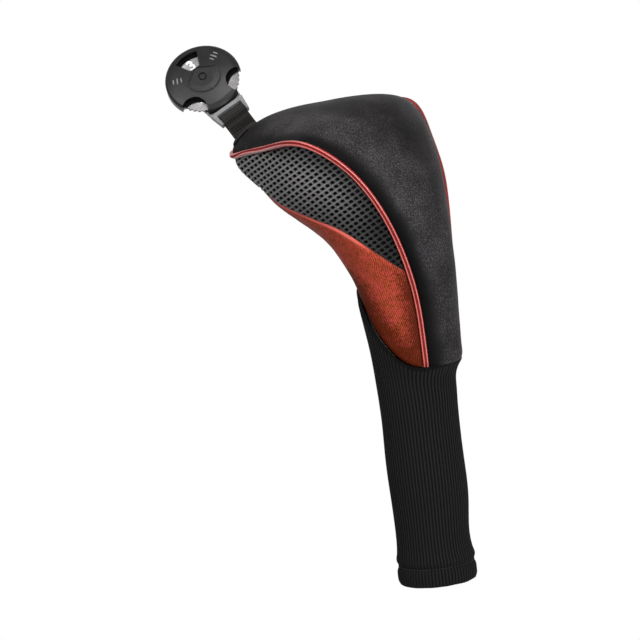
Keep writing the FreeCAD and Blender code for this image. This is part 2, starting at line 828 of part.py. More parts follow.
# strap: webbing round the lug's bar, both plies together down to the root
strap = Piece("tag_strap", STRAP)
loop = strap.sketch("XZ_Plane")
strap.circle(loop, "-bar_distance", BAR_Z, "bar_radius + bar_clearance + strap_wall")
strap.feature("Pad", loop, "strap_width", both=True)
plies = strap.sketch("XZ_Plane")
strap.polygon(plies, [
    ("-strap_reach", BAR_Z + " - strap_wall"),
    ("-bar_distance - bar_radius", BAR_Z + " - strap_wall"),
    ("-bar_distance - bar_radius", BAR_Z + " + strap_wall"),
    ("-strap_reach", BAR_Z + " + strap_wall")])
strap.feature("Pad", plies, "strap_width", both=True)
roll = strap.sketch("XZ_Plane")
strap.circle(roll, "-strap_reach", BAR_Z, "strap_wall")
strap.feature("Pad", roll, "strap_width", both=True)
eye = strap.sketch("XZ_Plane")
strap.circle(eye, "-bar_distance", BAR_Z, "bar_radius + bar_clearance")
strap.feature("Pocket", eye)

# bar tack that closes the loop, on the outer ply
tack = Piece("strap_bar_tack", STRAP)
tack_rows = tack.sketch("XY_Plane", BAR_Z + " + strap_wall + 0.05")
for n in range(3):
    a = "-(bar_distance + tack_start + %d * tack_pitch)" % n
    b = "-(bar_distance + tack_start + %d * tack_pitch + stitch_size)" % n
    tack.polygon(tack_rows, [(b, "-(strap_width / 2 - 1.5)"), (a, "-(strap_width / 2 - 1.5)"),
                             (a, "strap_width / 2 - 1.5"), (b, "strap_width / 2 - 1.5")])
tack.feature("Pad", tack_rows, "stitch_size / 2")

# ---------------------------------------------------------------- tag
LOW = "-(dial_wall / 2 + washer_wall + 2 * fit_gap)"
ROOF = "(dial_wall / 2 + turn_clearance)"

cover = Piece("tag_front_cover", TAG)
dome = cover.sketch("XZ_Plane")
cover.polygon(dome, [
    ("rivet_radius + fit_gap", ROOF),
    ("tag_radius - skirt_wall", ROOF),
    ("tag_radius - skirt_wall", LOW + " + fit_gap"),
    ("tag_radius", LOW + " + fit_gap"),
    ("tag_radius", ROOF + " + 0.25 * front_wall"),
    ("tag_radius - 0.45", ROOF + " + 0.62 * front_wall"),
    ("tag_radius - 1.4", ROOF + " + 0.95 * front_wall"),
    ("0.84 * tag_radius", ROOF + " + front_wall + 0.30 * dome_rise"),
    ("0.70 * tag_radius", ROOF + " + front_wall + 0.55 * dome_rise"),
    ("0.52 * tag_radius", ROOF + " + front_wall + 0.80 * dome_rise"),
    ("0.30 * tag_radius", ROOF + " + front_wall + dome_rise"),
    ("well_radius", ROOF + " + front_wall + dome_rise"),
    ("well_radius", ROOF + " + front_wall + dome_rise - well_deep"),
    ("rivet_radius + fit_gap", ROOF + " + front_wall + dome_rise - well_deep")])
cover.feature("Revolution", dome)
window = cover.sketch("XY_Plane")
fan = []
for reach, share in (("window_inner", -1.0), ("window_outer", -1.0), ("window_outer", -0.33),
                     ("window_outer", 0.33), ("window_outer", 1.0), ("window_inner", 1.0)):
    turned = "window_half_angle * %g" % share
    fan.append(("%s * cos(1deg * %s)" % (reach, turned), "%s * sin(1deg * %s)" % (reach, turned)))
cover.polygon(window, fan)
cover.feature("Pocket", window)


def notches(piece_made):
    """Finger notches through a disc's rim, one on each side of the lug."""
    cuts = piece_made.sketch("XY_Plane")
    reach = "(tag_radius + notch_radius - notch_depth)"
    for way in ("", "-"):
        piece_made.circle(cuts, reach + " * cos(1deg * notch_angle)",
                          way + reach + " * sin(1deg * notch_angle)", "notch_radius")
    piece_made.feature("Pocket", cuts)


notches(cover)
# the hub's outline: a groove round its lug side and two straight grooves to the window
ring = cover.sketch("XZ_Plane")
HUB_FLOOR = ROOF + " + front_wall + 0.93 * dome_rise - groove_deep"
cover.polygon(ring, [("-hub_radius", HUB_FLOOR), ("-(hub_radius + groove_wide)", HUB_FLOOR),
                     ("-(hub_radius + groove_wide)", HUB_FLOOR + " + 3"),
                     ("-hub_radius", HUB_FLOOR + " + 3")])
cover.feature("Groove", ring, both=True, angle="hub_arc")
straight = cover.sketch("XY_Plane", HUB_FLOOR + " + 3")
ARC_X, ARC_Y = "0.087 * hub_radius", "hub_radius + 0.7 * groove_wide"
cover.polygon(straight, [
    (ARC_X, "-(%s)" % ARC_Y), ("hub_apex", "0"), (ARC_X, ARC_Y),
    (ARC_X + " - groove_wide", ARC_Y), ("hub_apex - 0.9 * groove_wide", "0"),
    (ARC_X + " - groove_wide", "-(%s)" % ARC_Y)])
cover.feature("Pocket", straight, "3")

back = Piece("tag_back_cover", TAG)
plate = back.sketch("XY_Plane", LOW + " - back_wall")
back.circle(plate, "0", "0", "tag_radius")
back.circle(plate, "0", "0", "rivet_radius + fit_gap")
back.feature("Pad", plate, "back_wall")
notches(back)
neck = back.sketch("XY_Plane", LOW + " - back_wall")
SLOT_HALF = "(strap_width / 2 + side_clearance)"
EYE = "(bar_radius + bar_clearance + strap_wall + side_clearance)"
INNER = "-(bar_distance - %s - slot_room)" % EYE
back.polygon(neck, [
    ("-0.72 * tag_radius", "-lug_base_width / 2"), (INNER, "-0.46 * lug_base_width"),
    ("-(bar_distance + bar_radius + 0.6)", "-lug_width / 2"),
    ("-(bar_distance + bar_radius + 0.6)", "-%s" % SLOT_HALF), (INNER, "-%s" % SLOT_HALF),
    (INNER, SLOT_HALF), ("-(bar_distance + bar_radius + 0.6)", SLOT_HALF),
    ("-(bar_distance + bar_radius + 0.6)", "lug_width / 2"),
    (INNER, "0.46 * lug_base_width"), ("-0.72 * tag_radius", "lug_base_width / 2")])
back.feature("Pad", neck, "back_wall")
raised = back.sketch("XY_Plane", LOW + " - back_wall")
RIM = "-(tag_radius + 0.25)"
back.polygon(raised, [
    (RIM, "-0.48 * lug_base_width"), (INNER, "-0.46 * lug_base_width"),
    ("-(bar_distance + bar_radius + 0.6)", "-lug_width / 2"),
    ("-(bar_distance + bar_radius + 0.6)", "-%s" % SLOT_HALF), (INNER, "-%s" % SLOT_HALF),
    (INNER, SLOT_HALF), ("-(bar_distance + bar_radius + 0.6)", SLOT_HALF),
    ("-(bar_distance + bar_radius + 0.6)", "lug_width / 2"),
    (INNER, "0.46 * lug_base_width"), (RIM, "0.48 * lug_base_width")])
back.feature("Pad", raised, "lug_wall")
bar = back.sketch("XZ_Plane")
back.circle(bar, "-bar_distance", BAR_Z, "bar_radius")
back.feature("Pad", bar, "lug_width - 1", both=True)

dial = Piece("number_dial", TAG)
disc = dial.sketch("XY_Plane", "-dial_wall / 2")
dial.circle(disc, "0", "0", "tag_radius - skirt_wall - turn_clearance")
dial.circle(disc, "0", "0", "rivet_radius + bore_clearance")
dial.feature("Pad", disc, "dial_wall")
tooth = dial.sketch("XY_Plane")
dial.circle(tooth, "tag_radius - skirt_wall - turn_clearance + 0.25 * tooth_radius", "0",
            "tooth_radius")
dial.polar(dial.feature("Pocket", tooth), "dial_teeth")

rivet = Piece("center_rivet", TAG)
shank = rivet.sketch("XZ_Plane")
CROWN = ROOF + " + front_wall + dome_rise - well_deep + 0.05"
SEAT = LOW + " - back_wall - 0.05"
rivet.polygon(shank, [
    ("0", SEAT + " - rivet_head_wall"), ("0.75 * rivet_head", SEAT + " - rivet_head_wall"),
    ("rivet_head", SEAT), ("rivet_radius", SEAT), ("rivet_radius", CROWN),
    ("rivet_head", CROWN), ("0.75 * rivet_head", CROWN + " + rivet_head_wall"),
    ("0", CROWN + " + rivet_head_wall")])
rivet.feature("Revolution", shank)

washer = Piece("friction_washer", TAG)
spring = washer.sketch("XY_Plane", LOW + " + fit_gap")
washer.circle(spring, "0", "0", "washer_radius")
washer.circle(spring, "0", "0", "rivet_radius + fit_gap")
washer.feature("Pad", spring, "washer_wall")

doc.recompute()
for obj in doc.Objects:
    bad = [state for state in obj.State if state in ("Invalid", "Error")]
    if bad:
        raise RuntimeError("%s is %s" % (obj.Label, bad[0]))
for obj in PIECES:
    if obj.Shape.isNull() or not obj.Shape.isValid() or not obj.Shape.Solids:
        raise RuntimeError("%s has no valid solid" % obj.Label)
    print("%-20s %8.0f mm3" % (obj.Label, obj.Shape.Volume))

os.makedirs("parts", exist_ok=True)
for obj in PIECES:
    obj.Shape.exportStep("parts/%s.step" % obj.Label)
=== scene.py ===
"""Golf driver head cover: beaked hood, rib-knit sock and a number tag on a webbing strap."""
import json
import logging
import math
from dataclasses import dataclass, field
from enum import Enum
from typing import Any, Callable, Optional, Union

import bpy
import numpy as np
from mathutils import Matrix, Vector


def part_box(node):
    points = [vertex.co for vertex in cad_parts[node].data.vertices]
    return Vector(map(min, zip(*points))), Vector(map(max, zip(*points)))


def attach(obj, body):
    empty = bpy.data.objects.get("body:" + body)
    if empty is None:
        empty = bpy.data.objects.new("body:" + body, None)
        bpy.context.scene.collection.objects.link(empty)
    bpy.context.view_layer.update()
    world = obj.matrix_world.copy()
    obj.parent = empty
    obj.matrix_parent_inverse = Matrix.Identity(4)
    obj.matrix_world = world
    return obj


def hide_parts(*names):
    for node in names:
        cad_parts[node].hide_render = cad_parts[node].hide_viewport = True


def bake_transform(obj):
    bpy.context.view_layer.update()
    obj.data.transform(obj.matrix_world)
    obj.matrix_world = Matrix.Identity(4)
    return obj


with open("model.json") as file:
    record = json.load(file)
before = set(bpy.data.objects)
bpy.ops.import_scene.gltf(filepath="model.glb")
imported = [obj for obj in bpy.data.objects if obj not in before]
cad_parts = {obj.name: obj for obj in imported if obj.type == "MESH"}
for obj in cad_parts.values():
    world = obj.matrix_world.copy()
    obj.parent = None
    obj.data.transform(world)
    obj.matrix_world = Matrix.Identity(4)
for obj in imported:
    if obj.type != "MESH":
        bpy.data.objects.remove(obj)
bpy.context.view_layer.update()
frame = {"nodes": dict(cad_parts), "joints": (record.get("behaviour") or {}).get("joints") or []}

LOG = logging.getLogger("driver_cover")
MM = 0.001
Array = np.ndarray
Colour = tuple[float, float, float]
Number = Union[int, float]


# ------------------------------------------------------------------ shader expressions
class Socket:
    """One output of a node, used as a value in Python arithmetic."""

    def __init__(self, book: "NodeBook", link: bpy.types.NodeSocket) -> None:
        """Keep the socket with the book of its tree.

        Args:
            book: The book whose tree the socket is in.
            link: The output socket.
        """
        self.book = book
        self.link = link

    def __add__(self, other: "Value") -> "Socket":
        """Sum."""
        return self.book.math("ADD", self, other)

    __radd__ = __add__

    def __sub__(self, other: "Value") -> "Socket":
        """Difference."""
        return self.book.math("SUBTRACT", self, other)

    def __rsub__(self, other: "Value") -> "Socket":
        """Difference from a number."""
        return self.book.math("SUBTRACT", other, self)

    def __mul__(self, other: "Value") -> "Socket":
        """Product."""
        return self.book.math("MULTIPLY", self, other)

    __rmul__ = __mul__

    def __truediv__(self, other: "Value") -> "Socket":
        """Quotient."""
        return self.book.math("DIVIDE", self, other)

    def __rtruediv__(self, other: "Value") -> "Socket":
        """Quotient of a number."""
        return self.book.math("DIVIDE", other, self)


Value = Union[Number, Socket]


class NodeBook:
    """The node tree of one material or of the world, written as expressions."""

    def __init__(self, name: str, world: Optional[bpy.types.World] = None) -> None:
        """Start with an empty tree.

        Args:
            name: Name of the material.
            world: The world to work on, in place of a new material.
        """
        self.owner = world or bpy.data.materials.new(name)
        self.owner.use_nodes = True
        self.tree = self.owner.node_tree
        self.tree.nodes.clear()

    def node(self, kind: str, settings: Optional[dict[str, Any]] = None,
             values: Optional[dict[Union[int, str], Any]] = None,
             out: Union[int, str] = 0) -> Socket:
        """Make a node.

        Args:
            kind: Type of the node.
            settings: Attributes set first.
            values: Numbers or links of its sockets, by index, identifier or name.
            out: The output wanted.

        Returns:
            That output.
        """
        made = self.tree.nodes.new(kind)
        for key, setting in (settings or {}).items():
            setattr(made, key, setting)
        for key, given in (values or {}).items():
            socket = self._find(made.inputs, key)
            if isinstance(given, Socket):
                self.tree.links.new(given.link, socket)
            elif isinstance(given, tuple) and len(given) == 3 and socket.type == "RGBA":
                socket.default_value = (*given, 1.0)
            else:
                socket.default_value = given
        return Socket(self, self._find(made.outputs, out))

    @staticmethod
    def _find(sockets: Any, key: Union[int, str]) -> Any:
        """Look a socket up.

        Args:
            sockets: The inputs or outputs of a node.
            key: An index, identifier or name.

        Returns:
            The socket.
        """
        if isinstance(key, int):
            return sockets[key]
        for socket in sockets:
            if socket.identifier == key:
                return socket
        return sockets[key]

    def math(self, operation: str, *values: Value) -> Socket:
        """A Math node on up to three values."""
        return self.node("ShaderNodeMath", {"operation": operation}, dict(enumerate(values)))

    def mix(self, share: Value, low: Any, high: Any) -> Socket:
        """Colour between two colours."""
        return self.node("ShaderNodeMix", {"data_type": "RGBA"},
                         {"Factor_Float": share, "A_Color": low, "B_Color": high}, "Result_Color")

    def step(self, value: Value, low: float, high: float) -> Socket:
        """Smooth step of a value from low to high, as 0 to 1."""
        return self.node("ShaderNodeMapRange", {"interpolation_type": "SMOOTHSTEP"},
                         {"Value": value, "From Min": low, "From Max": high}, "Result")

    def noise(self, place: Socket, scale: float, detail: float = 2.0,
              roughness: float = 0.5) -> Socket:
        """Noise in a place.

        Args:
            place: Where.
            scale: Waves in a metre.
            detail: How many finer layers.
            roughness: How strong they are.

        Returns:
            The noise, about 0.5 on average.
        """
        return self.node("ShaderNodeTexNoise", None,
                         {"Vector": place, "Scale": scale, "Detail": detail,
                          "Roughness": roughness}, 0)

    def cells(self, place: Socket, scale: float) -> Socket:
        """Distance to the nearest of scattered points."""
        return self.node("ShaderNodeTexVoronoi", None, {"Vector": place, "Scale": scale},
                         "Distance")

    def seen(self) -> Socket:
        """Tell the rays apart.

        Returns:
            One where light goes to the camera or is mirrored or let through, else zero.
        """
        made = self.node("ShaderNodeLightPath", None, None, "Is Camera Ray")
        outs = made.link.node.outputs
        total = made
        for name in ("Is Glossy Ray", "Is Transmission Ray"):
            total = self.math("MAXIMUM", total, Socket(self, outs[name]))
        return total

    def place(self) -> Socket:
        """Object coordinates, in metres."""
        return self.node("ShaderNodeTexCoord", None, None, "Object")

    def read(self, name: str) -> Socket:
        """A named attribute of the mesh."""
        return self.node("ShaderNodeAttribute", {"attribute_name": name}, None, "Vector")

    def split(self, vector: Socket) -> tuple[Socket, Socket, Socket]:
        """Take a vector apart.

        Args:
            vector: Any vector.

        Returns:
            Its three parts.
        """
        made = self.node("ShaderNodeSeparateXYZ", None, {0: vector})
        outs = made.link.node.outputs
        return Socket(self, outs[0]), Socket(self, outs[1]), Socket(self, outs[2])

    def bump(self, height: Socket, strength: float, distance: float) -> Socket:
        """Normal with a height on it, the distance in metres."""
        return self.node("ShaderNodeBump", None,
                         {"Height": height, "Strength": strength, "Distance": distance})

    def shade(self, **values: Any) -> bpy.types.Material:
        """Finish the material with a Principled shader.

        Args:
            **values: Sockets of the shader, with _ for a space.

        Returns:
            The finished material.
        """
        named = {key.replace("_", " "): given for key, given in values.items()}
        self.finish(self.node("ShaderNodeBsdfPrincipled", None, named))
        return self.owner

    def finish(self, shader: Socket, kind: str = "ShaderNodeOutputMaterial") -> None:
        """Link the tree's output.

        Args:
            shader: The shader shown.
            kind: Type of the output node.
        """
        output = self.tree.nodes.new(kind)
        self.tree.links.new(shader.link, output.inputs["Surface"])


# ------------------------------------------------------------------ finishes
@dataclass(frozen=True)
class Neoprene:
    """Foam-backed crown fabric with a soft sheen and a fine pale fleck, with painted light and
    painted shade laid on its colour.
    """

    base: Colour = (0.0145, 0.0134, 0.0142)
    fleck: Colour = (0.100, 0.093, 0.098)
    shadow: Colour = (0.0035, 0.0033, 0.0035)
    sheen: float = 0.02

    def dress(self) -> bpy.types.Material:
        """Build the material.

        Returns:
            The finished material.
        """
        book = NodeBook("crown_neoprene")
        place = book.place()
        _, _, painted_light = book.split(book.read("cloth"))
        grain = book.noise(place, 1300.0, 4.0, 0.8)
        cloud = book.noise(place, 45.0, 3.0)
        flecks = book.step(grain + cloud * 0.2, 0.54, 0.78)
        knit = book.cells(place, 1100.0)
        # painted light and shade: the cloth attribute's third number lights the colour, which goes
        # to the painted shade colour where it is low; the flecks dim there too
        middle = book.step(painted_light + cloud * 0.4, 0.15, 1.2)
        colour = book.mix(flecks * (middle * 0.8 + 0.12), self.base, self.fleck)
        colour = book.mix((1.0 - middle) * 0.95, colour, self.shadow)
        height = knit * 0.6 + grain * 0.6
        return book.shade(Base_Color=colour, Roughness=book.step(grain, 0.2, 0.9) * 0.2 + 0.5,
                          Sheen_Weight=self.sheen, Sheen_Roughness=0.42,
                          Sheen_Tint=(0.9, 0.86, 0.9, 1.0), Specular_IOR_Level=0.03,
                          Normal=book.bump(height, 0.5, 0.00025))


@dataclass(frozen=True)
class Twill:
    """Red satin twill: fine diagonal ribs, painted lighter where they catch the light, with painted
    shade and a painted highlight from the cloth attribute.
    """

    deep: Colour = (0.070, 0.0105, 0.0030)
    bright: Colour = (0.56, 0.100, 0.040)
    rose: Colour = (0.54, 0.072, 0.056)
    glow: Colour = (0.72, 0.145, 0.120)
    pitch_mm: float = 0.92

    def dress(self) -> bpy.types.Material:
        """Build the material.

        Returns:
            The finished material.
        """
        book = NodeBook("red_twill")
        across, along, painted_light = book.split(book.read("cloth"))
        place = book.place()
        wander = book.noise(place, 240.0, 2.0) * 1.2
        turn = 2 * math.pi / self.pitch_mm
        ribs = book.math("SINE", (across * 0.62 - along * 0.78) * turn + wander)
        picks = book.math("SINE", (across * 0.78 + along * 0.62) * turn * 1.3)
        weave = ribs * 0.50 + picks * 0.14 + 0.5
        mottled = book.noise(place, 850.0, 4.0, 0.8)
        patchy = book.noise(place, 170.0, 3.0, 0.6)
        # painted light: the cloth attribute's third number lifts the colour from the deep painted
        # shade colour to the bright ones, along with the weave and mottle
        light = book.step(weave * 0.5 + mottled * 2.4 + patchy * 0.9 + painted_light * 0.8, 2.0, 3.4)
        worn = book.mix(book.step(patchy + mottled * 0.4, 0.5, 0.9), self.bright, self.rose)
        colour = book.mix(light, self.deep, worn)
        # painted highlight: the glow colour along the mesh edge, where the third number is over one
        colour = book.mix(book.step(painted_light, 1.0, 2.0) * (light * 0.4 + 0.6), colour, self.glow)
        return book.shade(Base_Color=colour, Roughness=0.6 - light * 0.1,
                          Specular_IOR_Level=0.03,
                          Normal=book.bump(weave + mottled * 0.4, 0.5, 0.00016))


@dataclass(frozen=True)
class SpacerMesh:
    """Black perforated sports mesh; the holes are in the mesh itself. The grey strand colour is a
    painted highlight, dimmed by painted shade.
    """

    strand: Colour = (0.27, 0.262, 0.262)
    bridge: Colour = (0.009, 0.009, 0.009)
    hole: Colour = (0.003, 0.003, 0.003)

    def dress(self) -> bpy.types.Material:
        """Build the material.

        Returns:
            The finished material.
        """
        book = NodeBook("black_mesh")
        ridge, painted_light, hole = book.split(book.read("cloth"))
        place = book.place()
        yarn = book.noise(place, 1800.0, 2.0, 0.6)
        # painted highlight on the strands in the grey strand colour, dimmed by the painted shade
        # from the cloth attribute's second number
        light = book.step(ridge + yarn * 0.5, 0.45, 1.4) * painted_light
        strand = book.mix(light, self.bridge, self.strand)
        colour = book.mix(book.step(hole, 0.12, 0.6), strand, self.hole)
        return book.shade(Base_Color=colour, Roughness=0.42 + yarn * 0.14 + hole * 0.3,
                          Specular_IOR_Level=0.06,
                          Normal=book.bump(yarn, 0.5, 0.00025))


@dataclass(frozen=True)
class Knit:
    """Black rib knit; the ribs are in the mesh, the stitches in the normal. The rib crests are
    painted lighter, a painted highlight.
    """

    base: Colour = (0.0045, 0.0044, 0.0045)
    high: Colour = (0.019, 0.0185, 0.019)

    def dress(self) -> bpy.types.Material:
        """Build the material.

        Returns:
            The finished material.
        """
        book = NodeBook("rib_knit")
        rib, level, ridge = book.split(book.read("cloth"))
        sway = book.math("ABSOLUTE", book.math("SINE", rib * math.pi))
        loops = book.math("SINE", (level / 1.15 + sway * 0.45) * 2 * math.pi)
        place = book.place()
        fuzz = book.noise(place, 1500.0, 3.0, 0.7)
        height = loops * 0.5 + fuzz * 0.8
        # painted highlight: the rib crests are lighter, from the cloth attribute's third number
        light = book.step(ridge * 0.7 + fuzz * 0.5 + loops * 0.06, 0.45, 1.1)
        colour = book.mix(light, self.base, self.high)
        return book.shade(Base_Color=colour, Roughness=0.8, Sheen_Weight=0.015,
                          Sheen_Roughness=0.5, Specular_IOR_Level=0.03,
                          Normal=book.bump(height, 0.6, 0.0003))


@dataclass(frozen=True)
class Vinyl:
    """Glossy red piping skin, with painted shade in its groove and on its flanks and a painted
    highlight at the beak.
    """

    # skin: the red vinyl, lightened towards pink as a painted highlight on the ridges
    skin: Colour = (0.62, 0.15, 0.135)
    edge: Colour = (0.13, 0.005, 0.003)
    groove: Colour = (0.10, 0.002, 0.0015)
    beak: Colour = (0.95, 0.33, 0.33)
    mottle: Colour = (0.5, 0.05, 0.04)

    def dress(self) -> bpy.types.Material:
        """Build the material.

        Returns:
            The finished material.
        """
        book = NodeBook("red_piping")
        ridge, _, tip = book.split(book.read("cloth"))
        place = book.place()
        mottled = book.noise(place, 500.0, 2.0)
        # painted highlight: the pale pink beak colour at the tip
        colour = book.mix(tip, self.skin, self.beak)
        # painted shade: the dark edge colour on the bead's flanks and the dark groove colour in its
        # groove
        colour = book.mix(book.step(ridge, 1.25, 1.75), colour, self.edge)
        proud = book.step(ridge, 0.25, 0.75)
        colour = book.mix(proud, self.groove, colour)
        colour = book.mix(mottled * 0.2, colour, self.mottle)
        return book.shade(Base_Color=colour, Roughness=mottled * 0.1 + 0.75 - proud * 0.45,
                          Coat_Weight=proud * 0.3, Specular_IOR_Level=0.2,
                          Coat_Roughness=0.25, Sheen_Weight=0.05, Sheen_Roughness=0.35,
                          Sheen_Tint=(1.0, 0.6, 0.62, 1.0),
                          Normal=book.bump(mottled, 0.2, 0.0002))


@dataclass(frozen=True)
class Cloth:
    """Any plain woven or felted fabric, by its colours and grain."""

    name: str
    low: Colour
    high: Colour
    scale: float = 1600.0
    roughness: float = 0.8
    sheen: float = 0.15
    rib_mm: float = 0.0

    def dress(self) -> bpy.types.Material:
        """Build the material.

        Returns:
            The finished material.
        """
        book = NodeBook(self.name)
        place = book.place()
        fuzz = book.noise(place, self.scale, 3.0, 0.65)
        height = light = fuzz
        if self.rib_mm > 0:
            across, _, ridge = book.split(book.read("cloth"))
            yarn = book.math("SINE", across * (2 * math.pi / self.rib_mm))
            height = height + yarn * 0.35
            # painted highlight: the rib crests are lighter, from the cloth attribute's third number
            light = fuzz * 0.5 + ridge * 0.6
        colour = book.mix(book.step(light, 0.3, 0.85), self.low, self.high)
        return book.shade(Base_Color=colour, Roughness=self.roughness, Sheen_Weight=self.sheen,
                          Sheen_Roughness=0.45, Specular_IOR_Level=0.1,
                          Normal=book.bump(height, 0.5, 0.0002))


@dataclass(frozen=True)
class Moulded:
    """Moulded plastic or plated sheet with a fine spark-eroded grain."""

    name: str
    base: Colour
    worn: Colour
    roughness: float = 0.34
    metallic: float = 0.0
    gloss: float = 0.5
    grain: float = 1400.0
    depth: float = 0.00006

    def dress(self) -> bpy.types.Material:
        """Build the material.

        Returns:
            The finished material.
        """
        book = NodeBook(self.name)
        place = book.place()
        grain = book.noise(place, self.grain, 2.0, 0.6)
        cloud = book.noise(place, 90.0, 3.0)
        colour = book.mix(book.step(grain * 0.5 + cloud * 0.6, 0.4, 0.8), self.base, self.worn)
        return book.shade(Base_Color=colour, Roughness=cloud * 0.12 + self.roughness - 0.04,
                          Metallic=self.metallic, Specular_IOR_Level=self.gloss,
                          Normal=book.bump(grain, 0.35, self.depth))


class Finish(Enum):
    """Finishes by the material slot that they dress."""

    CROWN = ("crown_neoprene", Neoprene())
    THROAT = ("red_twill", Twill())
    MESH = ("black_mesh", SpacerMesh())
    FOAM = ("dark_foam", Cloth("dark_foam", (0.003, 0.003, 0.003), (0.008, 0.008, 0.008),
                               scale=700.0))
    FLEECE = ("fleece", Cloth("fleece", (0.04, 0.04, 0.04), (0.1, 0.1, 0.1), scale=900.0,
                              roughness=0.95, sheen=0.4))
    PIPING = ("red_piping", Vinyl())
    CORD = ("cord", Cloth("cord", (0.42, 0.4, 0.36), (0.66, 0.64, 0.6), scale=1500.0,
                          sheen=0.1, rib_mm=0.6))
    KNIT = ("rib_knit", Knit())
    TAPE = ("binding_tape", Cloth("binding_tape", (0.008, 0.008, 0.008), (0.026, 0.026, 0.026),
                                  scale=1300.0, roughness=0.75, sheen=0.1, rib_mm=0.7))
    ELASTIC = ("elastic", Cloth("elastic", (0.01, 0.01, 0.01), (0.03, 0.03, 0.03), scale=1500.0,
                                roughness=0.7, sheen=0.05, rib_mm=0.9))
    THREAD = ("black_thread", Cloth("black_thread", (0.006, 0.006, 0.006), (0.035, 0.034, 0.034),
                                    scale=2400.0, roughness=0.55, sheen=0.1))
    WEBBING = ("webbing", Cloth("webbing", (0.004, 0.0037, 0.0035), (0.026, 0.024, 0.022),
                                scale=2000.0, roughness=0.7, sheen=0.03, rib_mm=0.8))
    TAG = ("tag_black", Moulded("tag_black", (0.005, 0.005, 0.0056), (0.010, 0.010, 0.0108),
                                gloss=0.17))
    LUG = ("tag_grey", Moulded("tag_grey", (0.11, 0.111, 0.116), (0.155, 0.156, 0.16),
                               roughness=0.4))
    WASHER = ("washer_nylon", Moulded("washer_nylon", (0.62, 0.62, 0.58), (0.7, 0.7, 0.66),
                                      roughness=0.5))
    DIAL = ("dial_silver", Moulded("dial_silver", (0.11, 0.106, 0.106), (0.27, 0.262, 0.268),
                                   roughness=0.36, metallic=0.4, gloss=0.4, grain=1000.0))
    # painted shadow: near-black finish of the sheets that stand in for the openings' shadow on the
    # dial
    WELL = ("tag_well", Moulded("tag_well", (0.0012, 0.0012, 0.0013), (0.002, 0.002, 0.002),
                                roughness=0.85, gloss=0.05))
    INK = ("dial_white", Moulded("dial_white", (0.82, 0.82, 0.82), (0.9, 0.9, 0.9),
                                 roughness=0.4))

    @property
    def slot(self) -> str:
        """Name of the record's material slot."""
        return {"INK": "dial_silver", "WELL": "tag_black"}.get(self.name, self.value[0])

    @property
    def material(self) -> bpy.types.Material:
        """The material, made once.

        Returns:
            The one material of this finish.
        """
        found = bpy.data.materials.get("finish_" + self.value[0])
        if found is None:
            found = self.value[1].dress()
            found.name = "finish_" + self.value[0]
        return found


# ------------------------------------------------------------------ mesh helpers
@dataclass
class Sheet:
    """A grid of points in mm, with three numbers at each of them for its finish."""

    points: Array
    cloth: Array
    closed: bool = False

    def build(self, name: str, finish: Finish) -> bpy.types.Object:
        """Make the mesh object.

        Args:
            name: Name of the piece.
            finish: Its finish.

        Returns:
            The object, its points given in mm and made in metres.
        """
        rows, columns = self.points.shape[:2]
        count = rows * columns
        across = columns if self.closed else columns - 1
        r, c = np.meshgrid(np.arange(rows - 1), np.arange(across), indexing="ij")
        nxt = (c + 1) % columns
        quads = np.stack([r * columns + c, r * columns + nxt,
                          (r + 1) * columns + nxt, (r + 1) * columns + c], -1).reshape(-1, 4)
        mesh = bpy.data.meshes.new(name)
        mesh.vertices.add(count)
        mesh.vertices.foreach_set("co", (self.points * MM).astype(np.float32).ravel())
        mesh.loops.add(quads.size)
        mesh.loops.foreach_set("vertex_index", quads.astype(np.int32).ravel())
        mesh.polygons.add(len(quads))
        mesh.polygons.foreach_set("loop_start", np.arange(0, quads.size, 4, dtype=np.int32))
        mesh.update(calc_edges=True)
        layer = mesh.attributes.new("cloth", "FLOAT_VECTOR", "POINT")
        layer.data.foreach_set("vector", self.cloth.astype(np.float32).ravel())
        mesh.shade_smooth()
        mesh.validate()
        made = bpy.data.objects.new(name, mesh)
        bpy.context.scene.collection.objects.link(made)
        made.data.materials.append(finish.material)
        return made


def one_side(points: Array, cloth: Array, flip: float) -> Sheet:
    """Sheet of the left half, or its mirror image.

    Args:
        points: Points of the left half.
        cloth: What is known at each point.
        flip: 1 for the left side, -1 for the right.

    Returns:
        The sheet, its faces outwards on either side.
    """
    order = slice(None, None, int(flip))
    return Sheet((points * np.array([1.0, flip, 1.0]))[:, order], cloth[:, order])


def normals_of(points: Array) -> Array:
    """Unit normals of a grid.

    Args:
        points: Points (rows, columns, 3).

    Returns:
        The normal at each of them.
    """
    down = np.gradient(points, axis=0)
    across = np.gradient(points, axis=1)
    normal = np.cross(across, down)
    return normal / np.maximum(np.linalg.norm(normal, axis=-1, keepdims=True), 1e-9)


def lengths(points: Array, axis: int) -> Array:
    """Distance run along one axis of a grid, from its start.

    Args:
        points: Points (rows, columns, 3).
        axis: 0 down the rows, 1 across the columns.

    Returns:
        The distance at each point.
    """
    steps = np.linalg.norm(np.diff(points, axis=axis), axis=-1)
    pad = [(1, 0), (0, 0)] if axis == 0 else [(0, 0), (1, 0)]
    return np.pad(np.cumsum(steps, axis=axis), pad)


def run_of(path: Array) -> Array:
    """Distance run along a path, from its start."""
    return np.concatenate([[0], np.cumsum(np.linalg.norm(np.diff(path, axis=0), axis=-1))])


def ease(value: Array, low: float, high: float) -> Array:
    """Smooth step from low to high."""
    share = np.clip((value - low) / (high - low), 0, 1)
    return share * share * (3 - 2 * share)


